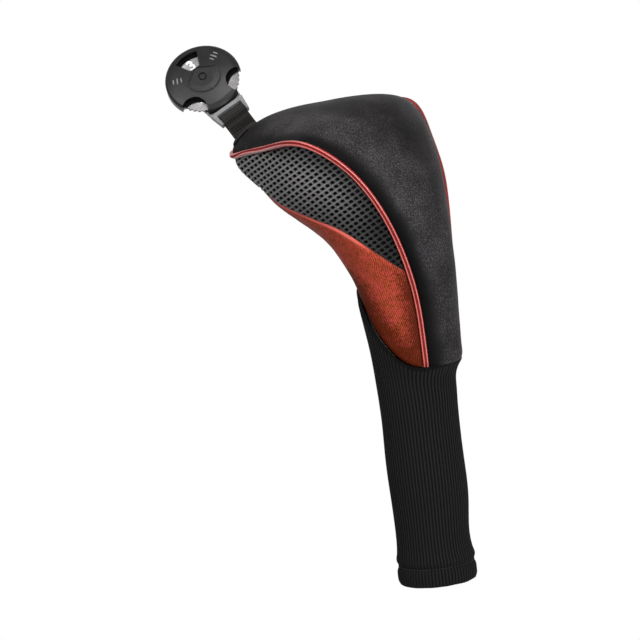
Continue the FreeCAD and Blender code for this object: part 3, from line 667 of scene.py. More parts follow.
def ripple(points: Array, size: float, seed: int) -> Array:
    """Smooth seeded unevenness.

    Args:
        points: Places, in mm.
        size: Size of the waves, in mm.
        seed: Seed of the draw.

    Returns:
        A height of about one unit at each place.
    """
    dice = np.random.default_rng(seed)
    total = np.zeros(points.shape[:-1])
    for _ in range(7):
        way = dice.normal(size=3)
        way = way / np.linalg.norm(way) * dice.uniform(0.7, 1.5) * 2 * math.pi / size
        total += np.sin(points @ way + dice.uniform(0, 2 * math.pi))
    return total / 2.6


def with_rim(points: Array, cloth: Array, inward: Array, depth: float) -> tuple[Array, Array]:
    """Add a turned-in rim all round a grid.

    Args:
        points: Grid of points.
        cloth: What is known at each point.
        inward: Unit directions into the piece.
        depth: How far the rim goes in.

    Returns:
        The larger grids of points and cloth.
    """
    pad = [(1, 1), (1, 1), (0, 0)]
    wide, into = np.pad(points, pad, mode="edge"), np.pad(inward, pad, mode="edge")
    mask = np.zeros(wide.shape[:2], bool)
    mask[[0, -1], :] = True
    mask[:, [0, -1]] = True
    wide[mask] += into[mask] * depth
    return wide, np.pad(cloth, pad, mode="edge")


def finish_piece(piece: bpy.types.Object, body: str, finish: Finish, *nodes: str) -> None:
    """Ride a piece on its body and hide the nodes that it stands for.

    Args:
        piece: The piece.
        body: Name of its body.
        finish: Its finish; not used.
        *nodes: The nodes that it replaces.
    """
    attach(piece, body)
    if nodes:
        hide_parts(*nodes)
    LOG.info("%s: %d points on %s", piece.name, len(piece.data.vertices), body)


class Spline:
    """Smooth curve of any array through values at parameters."""

    def __init__(self, params: Array, values: Array) -> None:
        """Solve for the curvatures at the parameters.

        Args:
            params: Ascending parameters.
            values: One value of any shape for each.
        """
        self.t, self.v = np.asarray(params, float), np.asarray(values, float)
        n = len(self.t)
        h = np.diff(self.t)
        flat = self.v.reshape(n, -1)
        slope = np.diff(flat, axis=0) / h[:, None]
        ends = (slope[0] - h[0] * (slope[1] - slope[0]) / (h[0] + h[1]),
                slope[-1] + h[-1] * (slope[-1] - slope[-2]) / (h[-1] + h[-2]))
        matrix, right = np.zeros((n, n)), np.zeros_like(flat)
        matrix[0, :2] = 2 * h[0], h[0]
        right[0] = 6 * (slope[0] - ends[0])
        matrix[-1, -2:] = h[-1], 2 * h[-1]
        right[-1] = 6 * (ends[1] - slope[-1])
        for i in range(1, n - 1):
            matrix[i, i - 1:i + 2] = h[i - 1], 2 * (h[i - 1] + h[i]), h[i]
            right[i] = 6 * (slope[i] - slope[i - 1])
        self.m = np.linalg.solve(matrix, right).reshape(self.v.shape)

    def __call__(self, t: Array) -> Array:
        """Values at parameters.

        Args:
            t: Parameters, in an array of any shape.

        Returns:
            A value for each.
        """
        t = np.asarray(t, float)
        i = np.clip(np.searchsorted(self.t, t) - 1, 0, len(self.t) - 2)
        h = self.t[i + 1] - self.t[i]
        shape = t.shape + (1,) * (self.v.ndim - 1)
        a, b = ((self.t[i + 1] - t) / h).reshape(shape), ((t - self.t[i]) / h).reshape(shape)
        h = h.reshape(shape)
        return (a * self.v[i] + b * self.v[i + 1]
                + ((a ** 3 - a) * self.m[i] + (b ** 3 - b) * self.m[i + 1]) * h * h / 6)


# ------------------------------------------------------------------ shape of the hood
def unit(v: Array) -> Array:
    """Unit vector."""
    return v / np.linalg.norm(v)


@dataclass
class Station:
    """One section of the hood: throat, piping and crown points, and how round the cheek is."""

    throat: Array
    piping: Array
    crown: Array
    fullness: float

    def arc(self, apex: Array, amount: float, flow: Array) -> Array:
        """Bezier poles of the arc from an apex on the middle plane to the piping.

        Args:
            apex: Its start.
            amount: 1 for a round arc, 0 for a straight line.
            flow: Direction of the hood's run.

        Returns:
            Seven poles.
        """
        foot = np.array([self.piping[0], 0.0, self.piping[2]])
        lift = foot - apex
        axis = unit(lift)
        square = max(0.35, math.sqrt(max(0.0, 1 - float(axis @ flow) ** 2)))
        rise, wide = float(np.linalg.norm(lift)) * square, -self.piping[1]
        sweep = 2 * math.atan2(rise, wide)
        radius = (wide ** 2 + rise ** 2) / (2 * rise)
        reach = 4.0 / 3.0 * math.tan(sweep / 8) * radius
        poles = []
        for angle, slide in ((0, 0), (0, 1), (0.5, -1), (0.5, 0), (0.5, 1), (1, -1), (1, 0)):
            a = angle * sweep
            across = radius * math.sin(a) + slide * reach * math.cos(a)
            up = radius * (1 - math.cos(a)) + slide * reach * math.sin(a)
            poles.append(apex + np.array([0.0, -1.0, 0.0]) * across + axis * (up / square))
        flat = [apex + (self.piping - apex) * (i / 6.0) for i in range(7)]
        return np.array(flat) + (np.array(poles) - np.array(flat)) * amount


def station(throat: tuple[float, float], piping: tuple[float, float, float],
            crown: tuple[float, float], fullness: float) -> Station:
    """A section from its pattern points, in mm, on the left side.

    Args:
        throat: Point under the hood, in the middle plane.
        piping: Point of the piping, its second number the half width there.
        crown: Point over the hood, in the middle plane.
        fullness: How round the cheek is.

    Returns:
        The section.
    """
    return Station(np.array([throat[0], 0.0, throat[1]]),
                   np.array([piping[0], -piping[1], piping[2]]),
                   np.array([crown[0], 0.0, crown[1]]), fullness)


@dataclass
class HoodShape:
    """The hood's outer face from the neck to the beak, in mm."""

    neck_radius: float = 31.0
    neck_shift: float = 1.5
    seam_draw: float = 3.3
    stations: list[Station] = field(default_factory=lambda: [
        station((-29.5, 131), (20.8, 19.6, 131), (32.5, 131), 1.0),
        station((-29.5, 163), (20.8, 19.6, 163), (32.5, 163), 1.0),
        station((-33.2, 191), (19.8, 21.6, 199), (33.4, 200), 0.95),
        station((-37.6, 203.5), (17.5, 25.9, 221), (31.4, 229), 0.88),
        station((-45.0, 215), (13.8, 32.2, 243), (28.9, 253), 0.80),
        station((-56.0, 224.8), (7.6, 39.5, 264), (25.3, 275), 0.70),
        station((-70.0, 232.8), (-5.4, 48.8, 286.5), (16.5, 298), 0.60),
        station((-86.0, 241), (-27.3, 61.0, 303.9), (-9.0, 319.3), 0.50),
        station((-100.0, 252.5), (-51.0, 53.4, 301.0), (-50.0, 317.5), 0.45),
        station((-113.0, 263.6), (-79.5, 35.4, 293.0), (-86.5, 310.3), 0.40),
        station((-122.0, 272.6), (-104.5, 19.8, 285.9), (-109.5, 299.4), 0.35),
        station((-123.4, 281.2), (-118.6, 10.0, 283.0), (-122.8, 288.2), 0.30)])
    neck_seam: tuple[tuple[float, float], ...] = (
        (-62, 213), (-45, 211.5), (-31, 202), (-17, 180.5), (0, 160), (10, 151.5), (24, 146.8),
        (31, 148), (45, 145))
    mesh_seam: tuple[tuple[float, float], ...] = (
        (-135, 265), (-101, 258), (-68, 251.5), (-43, 246.5), (-24, 242), (-4, 230), (15, 214),
        (30, 200))

    def __post_init__(self) -> None:
        """Fit the neck, then draw the smooth faces through the sections."""
        turn = (self.neck_radius - self.seam_draw) * math.sqrt(0.5)
        for s in self.stations[:2]:
            s.throat[0] = self.neck_shift - self.neck_radius
            s.crown[0] = self.neck_shift + self.neck_radius
            s.piping[:2] = self.neck_shift + turn, -turn
        n = len(self.stations)
        run, cheek, crown, out = [0.0], [], [], []
        for i, s in enumerate(self.stations):
            a, b = self.stations[max(i - 1, 0)], self.stations[min(i + 1, n - 1)]
            flow = unit(unit(b.throat - a.throat) + unit(b.crown - a.crown))
            if i + 1 < n:
                t = self.stations[i + 1]
                run.append(run[-1] + sum(float(np.linalg.norm(p - q)) for p, q in (
                    (s.throat, t.throat), (s.piping, t.piping), (s.crown, t.crown))))
            cheek.append(s.arc(s.throat, s.fullness, flow))
            crown.append(s.arc(s.crown, 1.0, flow))
            centre = (s.throat + s.crown) / 2
            along = unit(b.piping - a.piping)
            sides = []
            for poles in (cheek[-1], crown[-1]):
                normal = unit(np.cross(unit(poles[5] - poles[6]), along))
                sides.append(normal if normal @ (centre - s.piping) > 0 else -normal)
            out.append(-unit(sides[0] + sides[1]))
        self.run = np.array(run) / run[-1]
        self.outward = np.array(out)
        self.cheek_poles = Spline(self.run, np.array(cheek))
        self.crown_poles = Spline(self.run, np.array(crown))
        self.neck_line = Spline(*[np.array(v, float) for v in zip(*self.neck_seam)])
        self.mesh_line = Spline(*[np.array(v, float) for v in zip(*self.mesh_seam)])

    @staticmethod
    def _along_arc(poles: Array, s: Array) -> Array:
        """Points of two-span Bezier arcs.

        Args:
            poles: Poles (..., 7, 3).
            s: Share along each arc.

        Returns:
            The points.
        """
        second = s >= 0.5
        u = (np.where(second, 2 * s - 1, 2 * s))[..., None]
        picked = np.where(second[..., None, None], poles[..., 3:7, :], poles[..., 0:4, :])
        return ((1 - u) ** 3 * picked[..., 0, :] + 3 * (1 - u) ** 2 * u * picked[..., 1, :]
                + 3 * (1 - u) * u ** 2 * picked[..., 2, :] + u ** 3 * picked[..., 3, :])

    def cheek(self, s: Array, t: Array) -> Array:
        """Points of the left cheek: s from throat to piping, t from neck to beak."""
        return self._along_arc(self.cheek_poles(t), s)

    def crown(self, s: Array, t: Array) -> Array:
        """Points of the crown.

        Args:
            s: Share across, from the left piping (-1) over the middle (0) to the right (1).
            t: Place along the hood.

        Returns:
            The points.
        """
        points = self._along_arc(self.crown_poles(t), np.abs(s))
        points[..., 1] *= np.where(s > 0, -1, 1)
        return points

    def seam_on_cheek(self, line: Callable[[Array], Array], t: Array) -> Array:
        """Share s at which a seam crosses the cheek at each t, 0 or 1 where it doesn't.

        Args:
            line: The seam's height over x.
            t: Places along the hood.

        Returns:
            The share above which the cheek is above the seam.
        """
        count = 400
        s = np.linspace(0, 1, count)
        points = self.cheek(np.broadcast_to(s, (len(t), count)), np.repeat(t[:, None], count, 1))
        above = points[..., 2] - line(points[..., 0])
        crossing = np.ones(len(t))
        for i, row in enumerate(above):
            under = np.nonzero(row < 0)[0]
            if len(under) == 0:
                crossing[i] = 0.0
            elif under[-1] < count - 1:
                k = under[-1]
                crossing[i] = s[k] + (s[k + 1] - s[k]) * row[k] / (row[k] - row[k + 1])
        return crossing

    def seam_on_crown(self, s: Array) -> Array:
        """Place along the hood at which the neck seam crosses the crown.

        Args:
            s: Shares across the crown.

        Returns:
            The place for each share.
        """
        count = 500
        t = np.linspace(0, 0.5, count)
        points = self.crown(np.repeat(s[:, None], count, 1), np.broadcast_to(t, (len(s), count)))
        above = points[..., 2] - self.neck_line(points[..., 0])
        found = np.zeros(len(s))
        for i, row in enumerate(above):
            k = np.nonzero(row < 0)[0][-1]
            found[i] = t[k] + (t[k + 1] - t[k]) * row[k] / (row[k] - row[k + 1])
        return found

    def neck_height(self, x: Array) -> Array:
        """Height of the neck seam over x."""
        return self.neck_line(np.clip(x, self.neck_seam[0][0], self.neck_seam[-1][0]))


# ------------------------------------------------------------------ the hood's panels
@dataclass
class Hood:
    """Crown, throat and mesh panels with their foam and lining."""

    shape: HoodShape
    tuck: float = 1.5
    tuck_reach: float = 2.2
    rim: float = 2.6
    neck_drop: float = 0.0045
    crown_puff: float = 0.7
    cloth_faces: tuple[float, float] = (24.0, 8.0)
    hole_across: tuple[float, float] = (2.15, -2.69)
    hole_along: tuple[float, float] = (-3.76, -2.02)
    hole_shift: tuple[float, float] = (0.73, 0.31)
    hole_half: tuple[float, float] = (1.12, 1.60)
    hole_edge: tuple[float, float] = (0.7, 1.15)
    hole_depth: float = 1.6
    strand_rise: float = 0.3
    cross_strand: float = 0.72
    foam_depth: float = 1.9
    lining_depth: float = 4.6
    middle_share: float = 0.0005
    far: float = 1e6
    sides: tuple[tuple[str, float], ...] = (("left", 1.0), ("right", -1.0))

    def tucked(self, edge: Array, depth: Optional[float] = None) -> Array:
        """How far a panel dips near its edge.

        Args:
            edge: Distance from the edge.
            depth: Dip at the edge, the usual one if it isn't given.

        Returns:
            The dip.
        """
        deep = self.tuck if depth is None else depth
        return deep * np.exp(-(np.maximum(edge, 0) / self.tuck_reach) ** 1.3)

    def crown_grid(self, rows: int, columns: int) -> tuple[Array, Array]:
        """Grid over the crown.

        Args:
            rows: Points from nape to beak.
            columns: Points from side to side.

        Returns:
            The points and their outward normals.
        """
        s = np.linspace(-1, 1, columns)
        start = self.shape.seam_on_crown(s) - self.neck_drop
        share = np.linspace(0, 1, rows)[:, None]
        t = start[None, :] + (1 - start[None, :]) * share
        points = self.shape.crown(np.broadcast_to(s, t.shape), t)
        normal = normals_of(points)
        middle = np.array([-20.0, 0.0, 230.0])
        if np.mean(np.sum(normal * (points - middle), -1)) < 0:
            normal = -normal
        return points, normal

    def crown_panel(self) -> None:
        """Crown from nape to beak, drawn down into the seams along its edges."""
        points, normal = self.crown_grid(250, 230)
        left = lengths(points, 1)
        edge = np.minimum(left, left[:, -1:] - left)
        low = lengths(points, 0)
        high = low[-1:] - low
        # drawn down along the piping, at the nape and at the beak
        dip = self.tucked(edge)
        dip = np.maximum(dip, self.tucked(low, 1.3))
        dip = np.maximum(dip, self.tucked(high, 0.8))
        away = ease(np.minimum(edge, low), 2, 16)
        soft = ripple(points, 62, 3) * 0.35 + ripple(points, 24, 4) * 0.10
        # small gathers where the stitches pull the cloth beside the piping
        pull = np.sin(low / 4.1 + ripple(points, 30, 9)) * 0.16 * np.exp(-(edge - 3.2) ** 2 / 7.0)
        puff = self.crown_puff * ease(edge, 1.5, 9) * (1 - ease(points[..., 2], 230, 285))
        lift = soft * away - dip + pull * ease(low, 4, 12) + puff
        points = points + normal * lift[..., None]
        # painted light: palest in a band beside the piping; painted shade in the seam, in the
        # middle and at the beak
        painted_light = ease(edge, 3, 17) * (1 - 0.45 * ease(edge, 27, 46))
        painted_light *= 0.3 + 0.7 * ease(points[..., 0], -108, -50)
        cloth = np.stack([left, low, painted_light], -1)
        points, cloth = with_rim(points, cloth, -normal, self.rim)
        made = Sheet(points, cloth).build("crown_cover", Finish.CROWN)
        finish_piece(made, "cover", Finish.CROWN, "crown_panel")

    def throat_rows(self, count: int) -> tuple[Array, Array, Array]:
        """Rows of the throat panel.

        Args:
            count: How many.

        Returns:
            Places along the hood, and the panel's two edges at each.
        """
        t = np.linspace(0, 0.9, 3000)
        neck = self.shape.seam_on_cheek(self.shape.neck_height, t)
        mesh = self.shape.seam_on_cheek(self.shape.mesh_line, t)
        inside = np.nonzero((neck < 0.999) & (mesh > neck + 0.002))[0]
        rows = np.linspace(t[inside[0]], t[inside[-1]], count)
        neck = self.shape.seam_on_cheek(self.shape.neck_height, rows)
        mesh = self.shape.seam_on_cheek(self.shape.mesh_line, rows)
        return rows, np.minimum(neck, 0.999), np.maximum(mesh, neck + 0.001)

    def grid_between(self, t: Array, low: Array, high: Array,
                     columns: int) -> tuple[Array, Array]:
        """Grid over the left cheek, between two edges.

        Args:
            t: Places along the hood.
            low: Share at which each row starts.
            high: Share at which it ends.
            columns: Points in a row.

        Returns:
            The points and their outward normals.
        """
        share = np.linspace(0, 1, columns)[None, :]
        s = low[:, None] + (high - low)[:, None] * share
        t = np.repeat(t[:, None], columns, 1)
        points = self.shape.cheek(s, t)
        e = 0.004
        ds = (self.shape.cheek(np.clip(s + e, 0, 1), t)
              - self.shape.cheek(np.clip(s - e, 0, 1), t))
        dt = (self.shape.cheek(s, np.clip(t + e, 0, 1))
              - self.shape.cheek(s, np.clip(t - e, 0, 1)))
        normal = np.cross(ds, dt)
        normal /= np.maximum(np.linalg.norm(normal, axis=-1, keepdims=True), 1e-9)
        middle = np.array([-10.0, 12.0, 260.0])
        if np.mean(np.sum(normal * (points - middle), -1)) < 0:
            normal = -normal
        return points, normal

    def throat_panels(self) -> None:
        """Red panels under the beak, one on each side of the middle seam."""
        t, low, high = self.throat_rows(330)
        points, normal = self.grid_between(t, low, high, 150)
        across = lengths(points, 1)
        back = across[:, -1:] - across
        run = lengths(points, 0)[:, 75:76]
        # a row starts at the neck seam or, past it, in the middle plane
        neck_side = low[:, None] > self.middle_share
        on_neck = across * np.where(neck_side, 1.0, self.far)
        on_middle = across * np.where(neck_side, self.far, 1.0)
        dip = self.tucked(back, 1.3)
        dip = np.maximum(dip, self.tucked(on_neck, 1.5))
        dip = np.maximum(dip, self.tucked(on_middle, 0.7))
        away = ease(np.minimum(on_neck, back), 2, 14)
        on_mesh = high[:, None] < 0.998
        # painted light: paler away from the seams, with painted shade at them and a painted
        # highlight along the mesh edge
        corner = ease(points[..., 2], 196, 224)
        painted_light = ease(across, 5, 28) * (corner + (1 - corner) * ease(back, 1.5, 15))
        painted_light += np.exp(-((back - 1.6) / 1.4) ** 2) * ease(points[..., 2], 224, 238) * on_mesh
        soft = ripple(points, 44, 11) * 0.30 + ripple(points, 17, 12) * 0.08
        points = points + normal * (soft * away * ease(on_middle, 0, 6) - dip)[..., None]
        cloth = np.stack([across, np.broadcast_to(run, across.shape), painted_light], -1)
        points, cloth = with_rim(points, cloth, -normal, self.rim)
        for side, flip in self.sides:
            made = one_side(points, cloth, flip).build("throat_cover_" + side, Finish.THROAT)
            finish_piece(made, "cover", Finish.THROAT, "throat_panel_" + side)

    def mesh_rows(self, count: int) -> tuple[Array, Array]:
        """Rows of the mesh panel.

        Args:
            count: How many.

        Returns:
            Places along the hood, and the panel's lower edge at each.
        """
        t = np.linspace(0.1, 1.0, 3000)
        edge = self.shape.seam_on_cheek(self.shape.mesh_line, t)
        inside = np.nonzero(edge < 0.999)[0]
        rows = np.linspace(t[inside[0]], 1.0, count)
        return rows, np.minimum(self.shape.seam_on_cheek(self.shape.mesh_line, rows), 0.999)

    def holes(self, points: Array) -> tuple[Array, Array]:
        """Lay the holes of the mesh out on the cheek.

        Args:
            points: Points of the cheek.

        Returns:
            How much of a hole and of a strand there is at each point, from 0 to 1.
        """
        turn, rise = (math.radians(v) for v in self.cloth_faces)
        right = np.array([math.cos(turn), math.sin(turn), 0.0])
        out = np.array([math.sin(turn) * math.cos(rise), -math.cos(turn) * math.cos(rise),
                        math.sin(rise)])
        laid = np.stack([points @ right, points @ np.cross(out, right)], -1)
        steps = np.array([self.hole_across, self.hole_along])
        share = laid @ np.linalg.inv(steps) + np.array(self.hole_shift)
        off = (share - np.round(share)) * np.linalg.norm(steps, axis=1)
        reach = np.hypot(off[..., 0] / self.hole_half[0], off[..., 1] / self.hole_half[1])
        # the rows of strands stand highest and take the full painted highlight; the cross strands
        # take less
        rows, cross = np.moveaxis(0.5 - 0.5 * np.cos(2 * math.pi * share), -1, 0)
        return 1 - ease(reach, *self.hole_edge), np.maximum(rows, cross * self.cross_strand)

    def mesh_panels(self) -> None:
        """Perforated cheeks with real holes, over dark foam."""
        t, low = self.mesh_rows(460)
        points, normal = self.grid_between(t, low, np.ones_like(low), 250)
        hole, strand = self.holes(points)
        across = lengths(points, 1)
        back = across[:, -1:] - across
        # a row starts in the middle plane or at the seam with the throat panel
        middle_side = low[:, None] < self.middle_share
        on_seam = across * np.where(middle_side, self.far, 1.0)
        on_middle = across * np.where(middle_side, 1.0, self.far)
        edge = np.minimum(on_seam, back)
        hole = hole * ease(edge, 0.8, 1.6) * ease(on_middle, 0.6, 1.4)
        dip = self.tucked(back, 1.4)
        dip = np.maximum(dip, self.tucked(on_seam, 1.1))
        dip = np.maximum(dip, self.tucked(on_middle, 0.5))
        soft = ripple(points, 50, 21) * 0.28 * ease(edge, 2, 14) * ease(on_middle, 0, 8)
        height = soft - dip - hole * self.hole_depth + (1 - hole) * strand * self.strand_rise
        # painted light: paler high up and away from the piping, with painted shade beside it and
        # low down
        reach = 8 + 20 * ease(points[..., 0], -80, -40)
        painted_light = (0.22 + 0.78 * ease(points[..., 2], 238, 280)) * (0.15 + 0.85 * ease(back, 1, reach))
        points = points + normal * height[..., None]
        cloth = np.stack([strand, painted_light, hole], -1)
        points, cloth = with_rim(points, cloth, -normal, self.rim)
        foam, foam_normal = self.grid_between(t[::4], low[::4], np.ones_like(low[::4]), 60)
        foam = foam - foam_normal * (self.foam_depth + 0.12 * ripple(foam, 5, 22))[..., None]
        foam_cloth = np.zeros_like(foam)
        foam, foam_cloth = with_rim(foam, foam_cloth, -foam_normal, 0.9)
        for side, flip in self.sides:
            made = one_side(points, cloth, flip).build("mesh_cover_" + side, Finish.MESH)
            finish_piece(made, "cover", Finish.MESH, "mesh_panel_" + side)
            pad = one_side(foam, foam_cloth, flip).build("mesh_foam_" + side, Finish.FOAM)
            finish_piece(pad, "cover", Finish.FOAM, "mesh_backing_" + side)

    def fleece(self, points: Array, normal: Array, seed: int) -> tuple[Array, Array]:
        """Grid of a lining under an outer face.

        Args:
            points: Points of the outer face.
            normal: Its outward normals.
            seed: Seed of its unevenness.

        Returns:
            The lining's points, and the numbers for its finish.
        """
        depth = self.lining_depth + 0.25 * ripple(points, 9, seed)
        inner = points - normal * depth[..., None]
        return with_rim(inner, np.zeros_like(inner), -normal, 1.0)

    def linings(self) -> None:
        """Fleece inside the hood."""
        points, normal = self.crown_grid(90, 80)
        inner, cloth = self.fleece(points[6:-12], normal[6:-12], 31)
        made = Sheet(inner, cloth).build("crown_fleece", Finish.FLEECE)
        finish_piece(made, "cover", Finish.FLEECE, "crown_lining")
        t = np.linspace(0.24, 0.93, 90)
        low = np.clip(self.shape.seam_on_cheek(self.shape.neck_height, t) + 0.05, 0.05, 0.9)
        points, normal = self.grid_between(t, low, np.full_like(t, 0.93), 50)
        inner, cloth = self.fleece(points, normal, 32)
        for side, flip in self.sides:
            made = one_side(inner, cloth, flip).build("cheek_fleece_" + side, Finish.FLEECE)
            finish_piece(made, "cover", Finish.FLEECE, "cheek_lining_" + side)

    def build(self) -> None:
        """All of the hood."""
        self.crown_panel()
        self.throat_panels()
        self.mesh_panels()
        self.linings()


# ------------------------------------------------------------------ piping
@dataclass
class Piping:
    """Grooved red piping round the crown, with the cord inside it."""

    shape: HoodShape
    radius: float = 1.8
    half_width: float = 1.9
    tip_slim: float = 0.12
    tip_roll: float = -0.55
    groove: float = 0.5
    groove_half: float = 0.46
    flange: float = 4.6
    neck_sink: float = 1.1
    cord_radius: float = 1.1
    strands: int = 3
    beak_round: float = 9.0
    beak_slim: float = 22.0
    beak_roll: float = 55.0

    def track(self, count: int) -> tuple[Array, Array]:
        """Run of the bead, from the left neck to the right neck.

        Args:
            count: Points on the whole run.

        Returns:
            Centres of the bead and its outward directions, above the neck seam only.
        """
        left = np.array([s.piping for s in self.shape.stations])
        out = self.shape.outward
        tip = left[-1]
        middle = np.array([[tip[0] - 0.35 * abs(tip[1]), 0.0, tip[2]]])
        flip = np.array([1.0, -1.0, 1.0])
        points = np.concatenate([left, middle, (left * flip)[::-1]])
        ways = np.concatenate([out, [[-1.0, 0.0, 0.0]], (out * flip)[::-1]])
        run = run_of(points)
        line, aim = Spline(run, points), Spline(run, ways)
        t = np.linspace(0, run[-1], count)
        points, ways = line(t), aim(t)
        ways /= np.linalg.norm(ways, axis=-1, keepdims=True)
        above = points[:, 2] - self.shape.neck_height(points[:, 0])
        keep = above > -0.8
        # the bead sits deeper towards the neck, at its very ends and along the beak
        sink = (self.neck_sink * ease(-above, -75, -20) + 1.5 * ease(-above, -4.5, 0.5)
                + 0.9 * ease(-points[:, 0], 45, 90))
        return (points + ways * (self.radius - sink)[:, None])[keep], ways[keep]

    @staticmethod
    def at_beak(run: Array, reach: float) -> Array:
        """One in the middle of the run, fading over a reach on both sides."""
        return np.exp(-((run - run.max() / 2) / reach) ** 2)

    def rolled(self, angle: Array, run: Array) -> Array:
        """Angle from the groove, which turns towards the crown along the beak."""
        turn = self.tip_roll * self.at_beak(run, self.beak_roll)
        return (angle + turn + math.pi) % (2 * math.pi) - math.pi

    def tube(self, name: str, finish: Finish, centre: Array, out: Array,
             profile: Callable[[Array, Array], Array], around: int) -> bpy.types.Object:
        """Tube along the track.

        Args:
            name: Name of the piece.
            finish: Its finish.
            centre: Centres.
            out: Outward directions.
            profile: Radius from angle and distance run.
            around: Points round it.

        Returns:
            The object, closed at both ends.
        """
        along = np.gradient(centre, axis=0)
        along /= np.linalg.norm(along, axis=-1, keepdims=True)
        side = np.cross(along, out)
        side /= np.linalg.norm(side, axis=-1, keepdims=True)
        up = np.cross(side, along)
        run = run_of(centre)
        angle = np.linspace(-math.pi, math.pi, around, endpoint=False)
        a, l = np.meshgrid(angle, run)
        ends = np.minimum(ease(l, -0.1, 0.5), ease(run[-1] - l, -0.1, 0.5))
        r = profile(a, l) * ends
        points = (centre[:, None] + up[:, None] * (np.cos(a) * r)[..., None]
                  + side[:, None] * (np.sin(a) * r)[..., None])
        # ridge marks the groove (0), the ridges (1) and the flanks (2) for the finish's painted
        # shade; tip marks the beak for its painted highlight
        turned = np.abs(self.rolled(a, l))
        ridge = (ease(turned, self.groove_half * 0.8, self.groove_half * 1.4)
                 + ease(turned, self.groove_half * 1.75, self.groove_half * 2.4))
        tip = self.at_beak(l, self.beak_round)
        cloth = np.stack([ridge * (1 - tip) + tip, l, tip], -1)
        return Sheet(points, cloth, closed=True).build(name, finish)

    def grooved(self, a: Array, l: Array) -> Array:
        """Two soft ridges with a groove between them, and a flange into the seam.

        Args:
            a: Angle from the outward direction.
            l: Distance run.

        Returns:
            The radius.
        """
        dip = self.groove * np.exp(-(self.rolled(a, l) / self.groove_half) ** 2)
        dip = dip * (1 - self.at_beak(l, self.beak_round))
        slim = 1 - self.tip_slim * self.at_beak(l, self.beak_slim)
        oval = np.hypot(self.radius * np.cos(a), self.half_width * np.sin(a)) * slim
        web = self.flange * ease(np.abs(a), 2.35, 3.05) * ease(np.abs(l - l.max() / 2), 12, 60)
        return oval - dip + web + 0.03 * np.sin(l * 2 * math.pi / 2.3 + 0.6 * np.sin(l / 3))

    def twisted(self, a: Array, l: Array) -> Array:
        """Radius of the laid strands at an angle and a distance run."""
        return self.cord_radius * (0.86 + 0.12 * np.abs(np.cos((a + l * 0.9) * self.strands / 2)))

    def build(self) -> None:
        """Cover and cord."""
        centre, out = self.track(1100)
        cover = self.tube("piping_skin", Finish.PIPING, centre, out, self.grooved, 56)
        finish_piece(cover, "cover", Finish.PIPING, "piping_cover")
        cord = self.tube("piping_cord", Finish.CORD, centre[4:-4], out[4:-4], self.twisted, 18)
        finish_piece(cord, "cover", Finish.CORD, "piping_core")


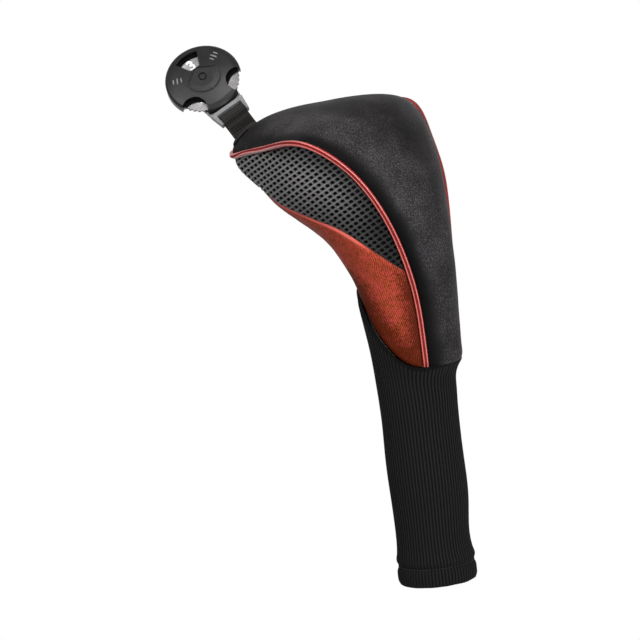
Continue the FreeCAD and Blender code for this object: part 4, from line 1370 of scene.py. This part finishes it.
# ------------------------------------------------------------------ sock
@dataclass
class Sock:
    """Rib-knit sock with a turned-up hem, its elastic, binding and hem stitches."""

    shape: HoodShape
    ribs: int = 72
    rib_depth: float = 0.55
    radius: float = 25.0
    wall: float = 1.8
    stitch_level: float = 12.0
    mouth: float = 21.4
    levels: tuple[tuple[float, float, float, float], ...] = (
        (0.0, 24.5, 0.0, 24.5), (2.0, 25.5, 2.0, 25.5), (6.0, 25.9, 6.0, 25.8),
        (10.8, 24.8, 10.8, 24.8), (12.0, 24.1, 12.0, 24.1), (13.2, 24.7, 13.2, 24.7),
        (18.0, 25.3, 18.0, 24.9), (51.8, 25.0, 51.8, 24.6), (97.7, 25.9, 97.7, 24.8),
        (121.0, 26.5, 115.0, 25.0), (143.0, 27.6, 127.0, 25.4), (165.0, 29.3, 136.0, 25.9),
        (183.0, 31.2, 143.0, 28.9), (197.0, 33.0, 149.5, 32.1), (207.0, 33.8, 159.0, 32.5))

    def __post_init__(self) -> None:
        """Draw the smooth side through the levels."""
        rows = np.array(self.levels)
        self.params = (rows[:, 0] + rows[:, 2]) / 2
        self.side = Spline(self.params, rows)
        self.low = float(self.shape.neck_height(np.array(32.5)))
        self.high = float(self.shape.neck_height(np.array(-31.0)))

    def point(self, angle: Array, level: Array, inset: Union[float, Array] = 0.0) -> Array:
        """Points of the outer side.

        Args:
            angle: Angles from the nape.
            level: Levels up the sock, measured along its lean.
            inset: How far inside the outer side.

        Returns:
            The points.
        """
        tz, tr, nz, nr = np.moveaxis(self.side(level), -1, 0)
        mean, shift = (tr + nr) / 2, (nr - tr) / 2
        x = shift + mean * np.cos(angle)
        lean = np.clip((self.shape.neck_height(x) - self.low) / (self.high - self.low), 0, 1)
        z = nz + (tz - nz) * lean
        return np.stack([shift + (mean - inset) * np.cos(angle), (mean - inset) * np.sin(angle),
                         z], -1)

    def top(self, angle: Array) -> Array:
        """Level at which the side meets the neck seam.

        Args:
            angle: Angles from the nape.

        Returns:
            The level at each.
        """
        count = 500
        level = np.linspace(100, self.params[-1], count)
        a, l = np.meshgrid(angle, level, indexing="ij")
        points = self.point(a, l)
        above = points[..., 2] - self.shape.neck_height(points[..., 0])
        found = np.zeros(len(angle))
        for i, row in enumerate(above):
            k = min(np.nonzero(row < 0)[0][-1], count - 2)
            found[i] = level[k] + (level[k + 1] - level[k]) * row[k] / (row[k] - row[k + 1])
        return found

    def knit(self) -> None:
        """The sock itself, outside and inside."""
        columns = self.ribs * 8
        angle = np.linspace(0, 2 * math.pi, columns, endpoint=False)
        top = self.top(angle) + 1.2
        share = np.concatenate([np.linspace(0, 0.02, 8), np.linspace(0.025, 0.13, 36),
                                np.linspace(0.135, 0.9, 120), np.linspace(0.905, 1, 40)])
        level = share[:, None] * top[None, :]
        a = np.broadcast_to(angle, level.shape)
        from_top = (1 - share)[:, None] * top[None, :]
        rib = np.abs(np.sin(a * self.ribs / 2))
        wave = np.sin(a * 31 + 2 * np.sin(a * 5)) * np.exp(-((from_top - 5) / 6) ** 2)
        soft = ripple(self.point(a, level), 60, 41) * 0.35 * ease(level, 16, 40)
        # turned in under the hood at the top, and a small bulge over the hem's edge
        dip = 1.7 * np.exp(-(np.maximum(from_top - 0.6, 0) / 1.5) ** 1.4)
        bump = 1.1 * np.exp(-((level - 16.3) / 2.2) ** 2) * 0.25
        outer = self.point(a, level, (1 - rib) ** 1.6 * self.rib_depth - wave * 0.22 - soft
                           + dip - bump)
        outer[..., 2] += ripple(outer, 14, 42) * 0.12 * np.exp(-level / 10)
        inner_rows = []
        for z, r in ((0.3, 22.6), (1.2, 21.7), (4.0, self.mouth), (9.0, self.mouth),
                     (15.0, self.mouth), (16.0, self.mouth + 0.5), (16.6, self.mouth + 1.2),
                     (18.0, self.radius - self.wall)):
            inner_rows.append(np.stack([r * np.cos(angle), r * np.sin(angle),
                                        np.full(columns, z)], -1))
        for up in np.linspace(0.14, 1.0, 24):
            inner_rows.append(self.point(angle, up * top, self.wall + 0.1))
        inner = np.array(inner_rows)
        points = np.concatenate([inner[::-1], outer])
        # painted highlight on the rib crests, faded to painted shade at the top where the knit goes
        # under the hood; the inside gets an even middle value
        ridge = np.concatenate([np.full(inner.shape[:2], 0.3), rib * ease(from_top, 0.5, 6)])
        rows_mm = np.concatenate([inner[::-1][..., 2], level])
        cloth = np.stack([np.broadcast_to(angle * self.ribs / (2 * math.pi), ridge.shape),
                          rows_mm, ridge], -1)
        made = Sheet(points, cloth, closed=True).build("knit_sock", Finish.KNIT)
        finish_piece(made, "cover", Finish.KNIT, "sock")

    def hem_stitches(self) -> None:
        """Short stitches round the hem."""
        count, gap = 84, 0.18
        seam = Stitches(Finish.THREAD)
        r = self.radius - self.rib_depth
        for n in range(count):
            a0 = 2 * math.pi * (n + gap) / count
            a1 = 2 * math.pi * (n + 1 - gap) / count
            p = np.array([r * math.cos(a0), r * math.sin(a0), self.stitch_level])
            q = np.array([r * math.cos(a1), r * math.sin(a1), self.stitch_level])
            out = np.array([math.cos((a0 + a1) / 2), math.sin((a0 + a1) / 2), 0.0])
            seam.add(p, q, out, 0.32)
        finish_piece(seam.build("hem_stitches"), "cover", Finish.THREAD, "hem_thread")

    def band(self, name: str, finish: Finish, node: str, low: Callable[[Array], Array],
             high: Callable[[Array], Array], inset: float, thick: float) -> None:
        """A band inside the tube.

        Args:
            name: Name of the piece.
            finish: Its finish.
            node: The node that it replaces.
            low: Its lower level at each angle.
            high: Its upper level at each angle.
            inset: How far its outer face is inside the sock's outer side.
            thick: Its thickness.
        """
        angle = np.linspace(0, 2 * math.pi, 240, endpoint=False)
        ring = []
        for share, deep in ((0, 0), (0.08, -0.12), (0.5, -0.12), (0.92, -0.12), (1, 0),
                            (1, thick), (0.5, thick), (0, thick), (0, 0)):
            level = low(angle) + (high(angle) - low(angle)) * share
            gather = 0.16 * np.sin(angle * 60)
            ring.append(self.point(angle, level, inset + deep + gather))
        points = np.array(ring)
        cloth = np.stack([np.broadcast_to(angle * 25, points.shape[:2]),
                          points[..., 2], np.full(points.shape[:2], 0.5)], -1)
        made = Sheet(points, cloth, closed=True).build(name, finish)
        finish_piece(made, "cover", finish, node)

    def build(self) -> None:
        """All of the sock."""
        self.knit()
        self.hem_stitches()
        self.band("gathered_elastic", Finish.ELASTIC, "neck_elastic",
                  lambda a: np.full_like(a, 104.0), lambda a: np.full_like(a, 111.0), 2.6, 0.9)
        self.band("neck_tape", Finish.TAPE, "neck_binding", lambda a: self.top(a) - 6.5,
                  lambda a: self.top(a) - 0.8, 3.6, 0.8)


# ------------------------------------------------------------------ stitches and webbing
class Stitches:
    """A row of separate thread stitches joined into one mesh."""

    def __init__(self, finish: Finish) -> None:
        """Start with no stitches.

        Args:
            finish: Finish of the thread.
        """
        self.finish = finish
        self.points: list[Array] = []
        self.faces: list[tuple[int, ...]] = []

    def add(self, start: Array, stop: Array, out: Array, radius: float) -> None:
        """Add one stitch, arched outwards between its two holes.

        Args:
            start: First hole.
            stop: Second hole.
            out: Direction away from the fabric.
            radius: Radius of the thread.
        """
        along = unit(stop - start)
        out = unit(out - along * (out @ along))
        side = np.cross(along, out)
        rows, around = 9, 8
        first = len(self.points)
        for i in range(rows):
            share = i / (rows - 1)
            lift = math.sin(math.pi * share) * radius * 1.1 - radius * 0.55
            slim = radius * (0.35 + 0.65 * math.sin(math.pi * (0.12 + 0.76 * share)))
            centre = start + (stop - start) * share + out * lift
            for j in range(around):
                a = 2 * math.pi * j / around + share * 2.2
                self.points.append(centre + out * math.cos(a) * slim + side * math.sin(a) * slim)
        for i in range(rows - 1):
            for j in range(around):
                k = (j + 1) % around
                self.faces.append((first + i * around + j, first + i * around + k,
                                   first + (i + 1) * around + k, first + (i + 1) * around + j))
        self.faces.append(tuple(first + j for j in range(around))[::-1])
        self.faces.append(tuple(first + (rows - 1) * around + j for j in range(around)))

    def build(self, name: str) -> bpy.types.Object:
        """Make the mesh object in metres.

        Args:
            name: Name of the piece.

        Returns:
            The object.
        """
        mesh = bpy.data.meshes.new(name)
        mesh.from_pydata([tuple(p * MM) for p in self.points], [], self.faces)
        mesh.shade_smooth()
        made = bpy.data.objects.new(name, mesh)
        bpy.context.scene.collection.objects.link(made)
        made.data.materials.append(self.finish.material)
        return made


@dataclass
class Webbing:
    """Ribbed woven webbing swept along a path."""

    width: float = 18.0
    thick: float = 1.2
    rib_pitch: float = 1.55
    rib_depth: float = 0.13

    def sweep(self, name: str, path: Array, normal: Array, side: Array,
              under: Optional[bpy.types.Object] = None) -> bpy.types.Object:
        """Make the webbing.

        Args:
            name: Name of the piece.
            path: Points of its middle line, in mm.
            normal: Unit normals of its face there.
            side: Unit direction across it.
            under: Piece that it lies on, if it follows one.

        Returns:
            The object.
        """
        half, edge = self.width / 2, self.thick / 2
        flat = 60
        top = np.linspace(-half + edge, half - edge, flat)
        turn = np.linspace(-math.pi / 2, math.pi / 2, 8)[1:-1]
        across = np.concatenate([top, half - edge + edge * np.cos(turn), top[::-1],
                                 -half + edge - edge * np.cos(turn)])
        up = np.concatenate([np.full(flat, edge), -edge * np.sin(turn), np.full(flat, -edge),
                             edge * np.sin(turn)])
        run = run_of(path)
        c, l = np.meshgrid(across, run)
        ridge = np.abs(np.sin(l * math.pi / self.rib_pitch
                              + 0.25 * np.sin(c * 2 * math.pi / 1.5)))
        weave = 0.5 + 0.5 * np.cos(c * 2 * math.pi / 1.3 + np.where(
            (l / self.rib_pitch) % 2 < 1, 0, math.pi))
        face = np.abs(np.abs(up) - edge) < 1e-6
        height = np.where(face, np.sign(up), 0.0) * (
            (ridge - 1) * self.rib_depth + weave * 0.03)
        offset = up[None, :] + height
        points = (path[:, None] + side * c[..., None] + normal[:, None] * offset[..., None])
        if under is not None:
            level = path[:, None] + side * c[..., None]
            for i, j in np.ndindex(*c.shape):
                _, seat, up_there, _ = under.ray_cast(Vector((level[i, j] + normal[i] * 8) * MM),
                                                      Vector(-normal[i]))
                points[i, j] = (np.array(seat) / MM
                                + np.array(up_there) * (offset[i, j] + edge + 0.05))
        cloth = np.stack([c, l, ridge], -1)
        closing = [points[:1] * 0 + points[:1].mean(1, keepdims=True), points,
                   points[-1:] * 0 + points[-1:].mean(1, keepdims=True)]
        cloth = np.concatenate([cloth[:1], cloth, cloth[-1:]])
        return Sheet(np.concatenate(closing), cloth, closed=True).build(name, Finish.WEBBING)


# ------------------------------------------------------------------ strap and tag
@dataclass
class Axes:
    """A place with three unit directions, in mm."""

    at: Array
    x: Array
    y: Array
    z: Array

    def point(self, x: float, y: float, z: float) -> Array:
        """A local point in the row frame."""
        return self.at + self.x * x + self.y * y + self.z * z


def joint(name: str) -> tuple[Array, Array]:
    """Find a joint.

    Args:
        name: Its name.

    Returns:
        Its place, in mm, and its unit axis.
    """
    found = next(j for j in frame["joints"] if j["name"] == name)
    return np.array(found["pos_m"]) / MM, unit(np.array(found["axis"], float))


@dataclass
class Strap:
    """Webbing loop from the crown to the tag's bar, with the tab that holds it."""

    webbing: Webbing
    bar_radius: float = 1.6
    bar_gap: float = 0.3
    ply: float = 1.3
    tab_length: float = 16.0
    root_depth: float = 8.0
    slack: float = 1.4
    tack_half: float = 7.4
    tack_rows: int = 3
    tack_gap: float = 6.2
    tack_pitch: float = 1.6

    def __post_init__(self) -> None:
        """Read the strap's line from its two joints."""
        root, side = joint("strap_flex")
        bar, _ = joint("tag_swing")
        way = unit(bar - root)
        self.axes = Axes(root, way, side, np.cross(way, side))
        self.reach = float(np.linalg.norm(bar - root))

    def loop(self) -> None:
        """Both plies round the bar, in one band."""
        radius = self.bar_radius + self.bar_gap + self.ply / 2
        half = self.ply / 2
        straight = np.linspace(-self.root_depth, self.reach - radius * 1.35, 70)
        bend = np.linspace(math.pi * 0.86, -math.pi * 0.86, 60)
        ring = [(self.reach + radius * math.cos(a) + self.slack * ease(math.cos(a), -0.4, 1),
                 -radius * math.sin(a)) for a in bend]
        lower = [(x, -half) for x in straight]
        track = np.array(lower + ring + [(x, half) for x in straight[::-1]])
        smooth = track.copy()
        for _ in range(12):
            smooth[1:-1] = (smooth[:-2] + smooth[1:-1] * 2 + smooth[2:]) / 4
        # the plies are smoothed, but the turn round the bar keeps its radius
        far = smooth[:, 0] > self.reach
        smooth[far] = track[far]
        path = np.array([self.axes.point(x, 0.0, z) for x, z in smooth])
        along = np.gradient(path, axis=0)
        along /= np.linalg.norm(along, axis=-1, keepdims=True)
        normal = np.cross(along, self.axes.y)
        made = self.webbing.sweep("strap_webbing", path, normal, self.axes.y)
        start = self.axes.point(-1.0, 0, 0) * MM
        stop = self.axes.point(4.0, 0, 0) * MM
        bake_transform(made)
        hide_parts("tag_strap")
        LOG.info("strap_webbing: %d points", len(made.data.vertices))

    def bar_tack(self) -> None:
        """Zigzag tack across the strap."""
        seam = Stitches(Finish.THREAD)
        z = self.ply + 0.12
        count = 13
        for row in range(self.tack_rows):
            x = self.reach - self.tack_gap - self.tack_pitch * row
            for n in range(count):
                y0 = self.tack_half * (2 * n / count - 1)
                y1 = self.tack_half * (2 * (n + 1) / count - 1)
                lift = 0.4 if n % 2 else -0.4
                seam.add(self.axes.point(x + lift, y0, z), self.axes.point(x - lift, y1, z),
                         self.axes.z, 0.3)
        finish_piece(seam.build("strap_tack"), "strap", Finish.THREAD, "strap_bar_tack")

    def tab(self) -> None:
        """Flat tab on the crown with two rows of stitches."""
        low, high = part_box("strap_tab")
        centre = (np.array(low) + np.array(high)) / 2 / MM
        node = frame["nodes"]["strap_tab"]
        co = np.zeros(len(node.data.vertices) * 3)
        node.data.vertices.foreach_get("co", co)
        _, _, ways = np.linalg.svd(co.reshape(-1, 3) / MM - centre)
        across = np.array([0.0, 1.0, 0.0])
        up = ways[2] if ways[2][2] > 0 else -ways[2]
        along = np.cross(across, up)
        seat = Axes(centre, along, across, up)
        span = np.linspace(-self.tab_length / 2, self.tab_length / 2, 90)
        sag = 0.12 * np.cos(span * 0.4)
        path = np.array([seat.point(x, 0, z) for x, z in zip(span, sag)])
        crown = bpy.data.objects["crown_cover"]
        made = self.webbing.sweep("tab_webbing", path, np.repeat(up[None], 90, 0), across, crown)
        finish_piece(made, "cover", Finish.WEBBING, "strap_tab")
        seam = Stitches(Finish.THREAD)

        def on_tab(x: float, y: float) -> Array:
            """Find the tab's face.

            Args:
                x: Place along the tab.
                y: Place across it.

            Returns:
                The point on its face.
            """
            _, spot, _, _ = made.ray_cast(Vector(seat.point(x, y, 9.0) * MM), Vector(-up))
            return np.array(spot) / MM + up * 0.1

        count, gap, row_half = 9, 0.12, 7.5
        for x in (-self.tab_length / 2 + 2.3, self.tab_length / 2 - 2.3):
            for n in range(count):
                seam.add(on_tab(x, row_half * (2 * (n + gap) / count - 1)),
                         on_tab(x, row_half * (2 * (n + 1 - gap) / count - 1)), up, 0.3)
        finish_piece(seam.build("tab_stitches"), "cover", Finish.THREAD, "tab_stitching")

    def build(self) -> None:
        """All of the strap."""
        self.loop()
        self.bar_tack()
        self.tab()


@dataclass
class Tag:
    """Round number tag: moulded covers, a silver dial and white numerals."""

    numeral_radius: float = 13.5
    numeral_height: float = 7.4
    numerals: tuple[str, ...] = ("3", "4", "5", "1", "2")
    dial_face: float = 0.8
    tick_angle: float = 61.0
    tick_half: float = 0.5
    ticks: tuple[tuple[float, float], ...] = ((14.2, 3.6), (16.8, 5.0), (19.4, 3.6))
    notch: tuple[float, float, float] = (131.0, 24.0, 8.8)
    window: tuple[float, float] = (26.0, 21.3)
    shade: float = 3.4
    shade_face: float = 1.5
    shade_half: float = 0.15
    shade_rim: float = 23.4

    def __post_init__(self) -> None:
        """Read the tag's axes from its joints."""
        centre, normal = joint("dial_spin")
        _, side = joint("tag_swing")
        self.axes = Axes(centre, unit(np.cross(side, normal)), side, normal)

    def dress(self) -> None:
        """Finish the moulded nodes, which keep their shape."""
        for node, finish in (("tag_front_cover", Finish.TAG), ("tag_back_cover", Finish.LUG),
                             ("number_dial", Finish.DIAL), ("center_rivet", Finish.TAG),
                             ("friction_washer", Finish.WASHER)):
            piece = frame["nodes"][node]
            if not piece.material_slots:
                piece.data.materials.append(finish.material)
            for slot in piece.material_slots:
                slot.material = finish.material
            LOG.info("%s: %s", node, finish.slot)

    def numbers(self) -> None:
        """White numerals standing on the dial, read from outside the tag."""
        for n, letter in enumerate(self.numerals):
            curve = bpy.data.curves.new("numeral", "FONT")
            curve.body = letter
            curve.align_x, curve.align_y = "CENTER", "CENTER"
            curve.size = self.numeral_height * 1.35 * MM
            curve.extrude = 0.09 * MM
            curve.bevel_depth = 0.04 * MM
            curve.offset = 0.22 * MM
            holder = bpy.data.objects.new("numeral", curve)
            bpy.context.scene.collection.objects.link(holder)
            mesh = bpy.data.meshes.new_from_object(holder.evaluated_get(
                bpy.context.evaluated_depsgraph_get()))
            bpy.data.objects.remove(holder)
            turn = 2 * math.pi * n / len(self.numerals)
            radial = self.axes.x * math.cos(turn) + self.axes.y * math.sin(turn)
            across = np.cross(radial, self.axes.z)
            at = (self.axes.at + radial * self.numeral_radius
                  + self.axes.z * (self.dial_face + 0.1)) * MM
            place = Matrix(((across[0], radial[0], self.axes.z[0], at[0]),
                            (across[1], radial[1], self.axes.z[1], at[1]),
                            (across[2], radial[2], self.axes.z[2], at[2]), (0, 0, 0, 1)))
            mesh.transform(place)
            mesh.materials.clear()
            mesh.materials.append(Finish.INK.material)
            made = bpy.data.objects.new("dial_numeral_" + letter, mesh)
            bpy.context.scene.collection.objects.link(made)
            finish_piece(made, "dial", Finish.INK)

    def grip(self, turn: float, radius: float, length: float) -> Array:
        """Rows of points round one raised bar that runs across the radius.

        Args:
            turn: Angle of its middle from the window, in degrees.
            radius: Distance of the bar from the dial's axis.
            length: Its length.

        Returns:
            The grid of points.
        """
        cover = frame["nodes"]["tag_front_cover"]
        rows = []
        for share in np.linspace(-1, 1, 13):
            a = math.radians(turn) + share * length / 2 / radius
            out = self.axes.x * math.cos(a) + self.axes.y * math.sin(a)
            spot = self.axes.at + out * radius + self.axes.z * 12.0
            _, seat, _, _ = cover.ray_cast(Vector(spot * MM), Vector(-self.axes.z))
            wide = self.tick_half * math.sqrt(max(1 - share ** 8, 0.0))
            ring = np.linspace(-math.pi, math.pi, 14, endpoint=False)[:, None]
            rows.append(np.array(seat) / MM + out * np.sin(ring) * wide
                        + self.axes.z * np.cos(ring) * wide * 0.8)
        return np.array(rows)

    def grips(self) -> None:
        """Three short raised bars on each side of the window, in the lighter grey finish as a
        painted highlight.
        """
        for side, turn in (("left", -self.tick_angle), ("right", self.tick_angle)):
            for n, (radius, length) in enumerate(self.ticks):
                points = self.grip(turn, radius, length)
                made = Sheet(points, np.zeros_like(points), closed=True).build(
                    "tag_grip_%s_%d" % (side, n), Finish.LUG)
                finish_piece(made, "tag", Finish.LUG)

    def shades(self) -> None:
        """Black sheets under the openings' edges, above the dial: a painted shadow of those edges
        on the dial.
        """
        turn, reach, radius = self.notch
        swing, rim = self.window
        round_notch = np.radians(np.linspace(-88, 88, 45))
        round_window = np.radians(np.linspace(-swing, swing, 45))
        arcs = [np.stack([rim * np.cos(round_window), rim * np.sin(round_window)], -1)]
        for way in (-1.0, 1.0):
            middle = reach * np.array([math.cos(math.radians(turn)),
                                       way * math.sin(math.radians(turn))])
            arcs.append(middle + (radius + 0.5) * np.stack([np.cos(round_notch),
                                                            np.sin(round_notch)], -1))
        for name, arc in zip(("window", "left", "right"), arcs):
            inner = arc - np.array([self.shade, 0.0])
            rows = []
            half = self.shade_half
            for flat, z in ((arc, half), (inner, half), (inner, -half), (arc, -half)):
                far = np.linalg.norm(flat, axis=-1, keepdims=True)
                flat = flat * np.minimum(1.0, self.shade_rim / far)
                rows.append(self.axes.at + flat @ np.stack([self.axes.x, self.axes.y])
                            + self.axes.z * (self.shade_face + z))
            points = np.stack(rows, 1)
            made = Sheet(points, np.zeros_like(points), closed=True).build(
                "tag_shade_" + name, Finish.WELL)
            finish_piece(made, "tag", Finish.WELL)

    def build(self) -> None:
        """All of the tag."""
        self.dress()
        self.numbers()
        self.grips()
        self.shades()


# ------------------------------------------------------------------ studio
@dataclass
class Studio:
    """Pale floor, soft lamps and the camera."""

    azimuth: float = 34.0
    elevation: float = 12.0
    roll: float = 6.03
    right_mm: float = -58.75
    up_mm: float = 175.9
    width: float = 0.416
    floor_height: float = -0.9
    floor_half: float = 6.0
    room_light: float = 0.10
    white: Colour = (1.0, 1.0, 1.0)

    def camera(self) -> None:
        """Camera at the usual catalogue angle."""
        a, e, r = (math.radians(v) for v in (self.azimuth, self.elevation, self.roll))
        back = Vector((math.sin(a) * math.cos(e), -math.cos(a) * math.cos(e), math.sin(e)))
        right = Vector((math.cos(a), math.sin(a), 0.0))
        up = back.cross(right)
        aim = (right * self.right_mm + up * self.up_mm) * MM
        shown_right = right * math.cos(r) - up * math.sin(r)
        shown_up = right * math.sin(r) + up * math.cos(r)
        camera = bpy.data.cameras.new("camera")
        camera.type = "ORTHO"
        camera.ortho_scale = self.width
        camera.clip_end = 20.0
        holder = bpy.data.objects.new("camera", camera)
        bpy.context.scene.collection.objects.link(holder)
        turn = Matrix((shown_right, shown_up, back)).transposed().to_4x4()
        holder.matrix_world = Matrix.Translation(aim + back * 2.0) @ turn
        bpy.context.scene.camera = holder

    def lamp(self, name: str, at: tuple[float, float, float], size: float, power: float,
             aim: tuple[float, float, float] = (-0.03, 0.0, 0.2), spread: float = 180.0) -> None:
        """A square soft lamp.

        Args:
            name: Its name.
            at: Its place, in metres.
            size: Its side, in metres.
            power: Its power, in watts.
            aim: What it is aimed at, in metres.
            spread: How wide its beam is, in degrees.
        """
        light = bpy.data.lights.new(name, "AREA")
        light.shape = "SQUARE"
        light.size = size
        light.energy = power
        light.spread = math.radians(spread)
        holder = bpy.data.objects.new(name, light)
        bpy.context.scene.collection.objects.link(holder)
        holder.location = at
        holder.rotation_euler = (Vector(aim) - Vector(at)).to_track_quat("-Z", "Y").to_euler()

    def floor(self) -> None:
        """Plain pale floor, white to the camera and in reflections."""
        book = NodeBook("floor_paper")
        grain = book.noise(book.place(), 30.0, 2.0)
        colour = book.mix(grain, (0.9, 0.9, 0.9), (0.94, 0.94, 0.94))
        plain = book.node("ShaderNodeBsdfPrincipled", None,
                          {"Base Color": colour, "Roughness": 0.9})
        glow = book.node("ShaderNodeEmission", None, {"Color": self.white, "Strength": 1.0})
        book.finish(book.node("ShaderNodeMixShader", None, {0: book.seen(), 1: plain, 2: glow}))
        mesh = bpy.data.meshes.new("floor")
        half, z = self.floor_half, self.floor_height
        mesh.from_pydata([(-half, -half, z), (half, -half, z), (half, half, z), (-half, half, z)],
                         [], [(0, 1, 2, 3)])
        made = bpy.data.objects.new("floor", mesh)
        bpy.context.scene.collection.objects.link(made)
        made.data.materials.append(book.owner)

    def world(self) -> None:
        """Even pale surroundings, white to the camera and in reflections."""
        bpy.context.scene.world = bpy.data.worlds.new("studio")
        book = NodeBook("studio", bpy.context.scene.world)
        soft, bright = (book.node("ShaderNodeBackground", None,
                                  {"Color": self.white, "Strength": strength})
                        for strength in (self.room_light, 1.0))
        book.finish(book.node("ShaderNodeMixShader", None, {0: book.seen(), 1: soft, 2: bright}),
                    "ShaderNodeOutputWorld")

    def build(self) -> None:
        """All of the studio."""
        self.camera()
        self.world()
        self.floor()
        self.lamp("key", (1.25, -0.75, 0.30), 0.55, 22.0)
        self.lamp("top", (-0.25, -0.95, 1.25), 0.6, 13.0)
        self.lamp("back", (0.5, 1.3, 0.9), 1.0, 2.0)
        self.lamp("tag", (0.25, -0.44, 1.48), 0.35, 0.22, (-0.19, 0.007, 0.345), 14.0)
        bpy.context.scene.view_settings.view_transform = "Standard"


def main() -> None:
    logging.basicConfig(level=logging.INFO, format="%(name)s: %(message)s")
    shape = HoodShape()
    Hood(shape).build()
    Piping(shape).build()
    Sock(shape).build()
    Strap(Webbing()).build()
    Tag().build()
    Studio().build()


if __name__ == "__main__":
    main()
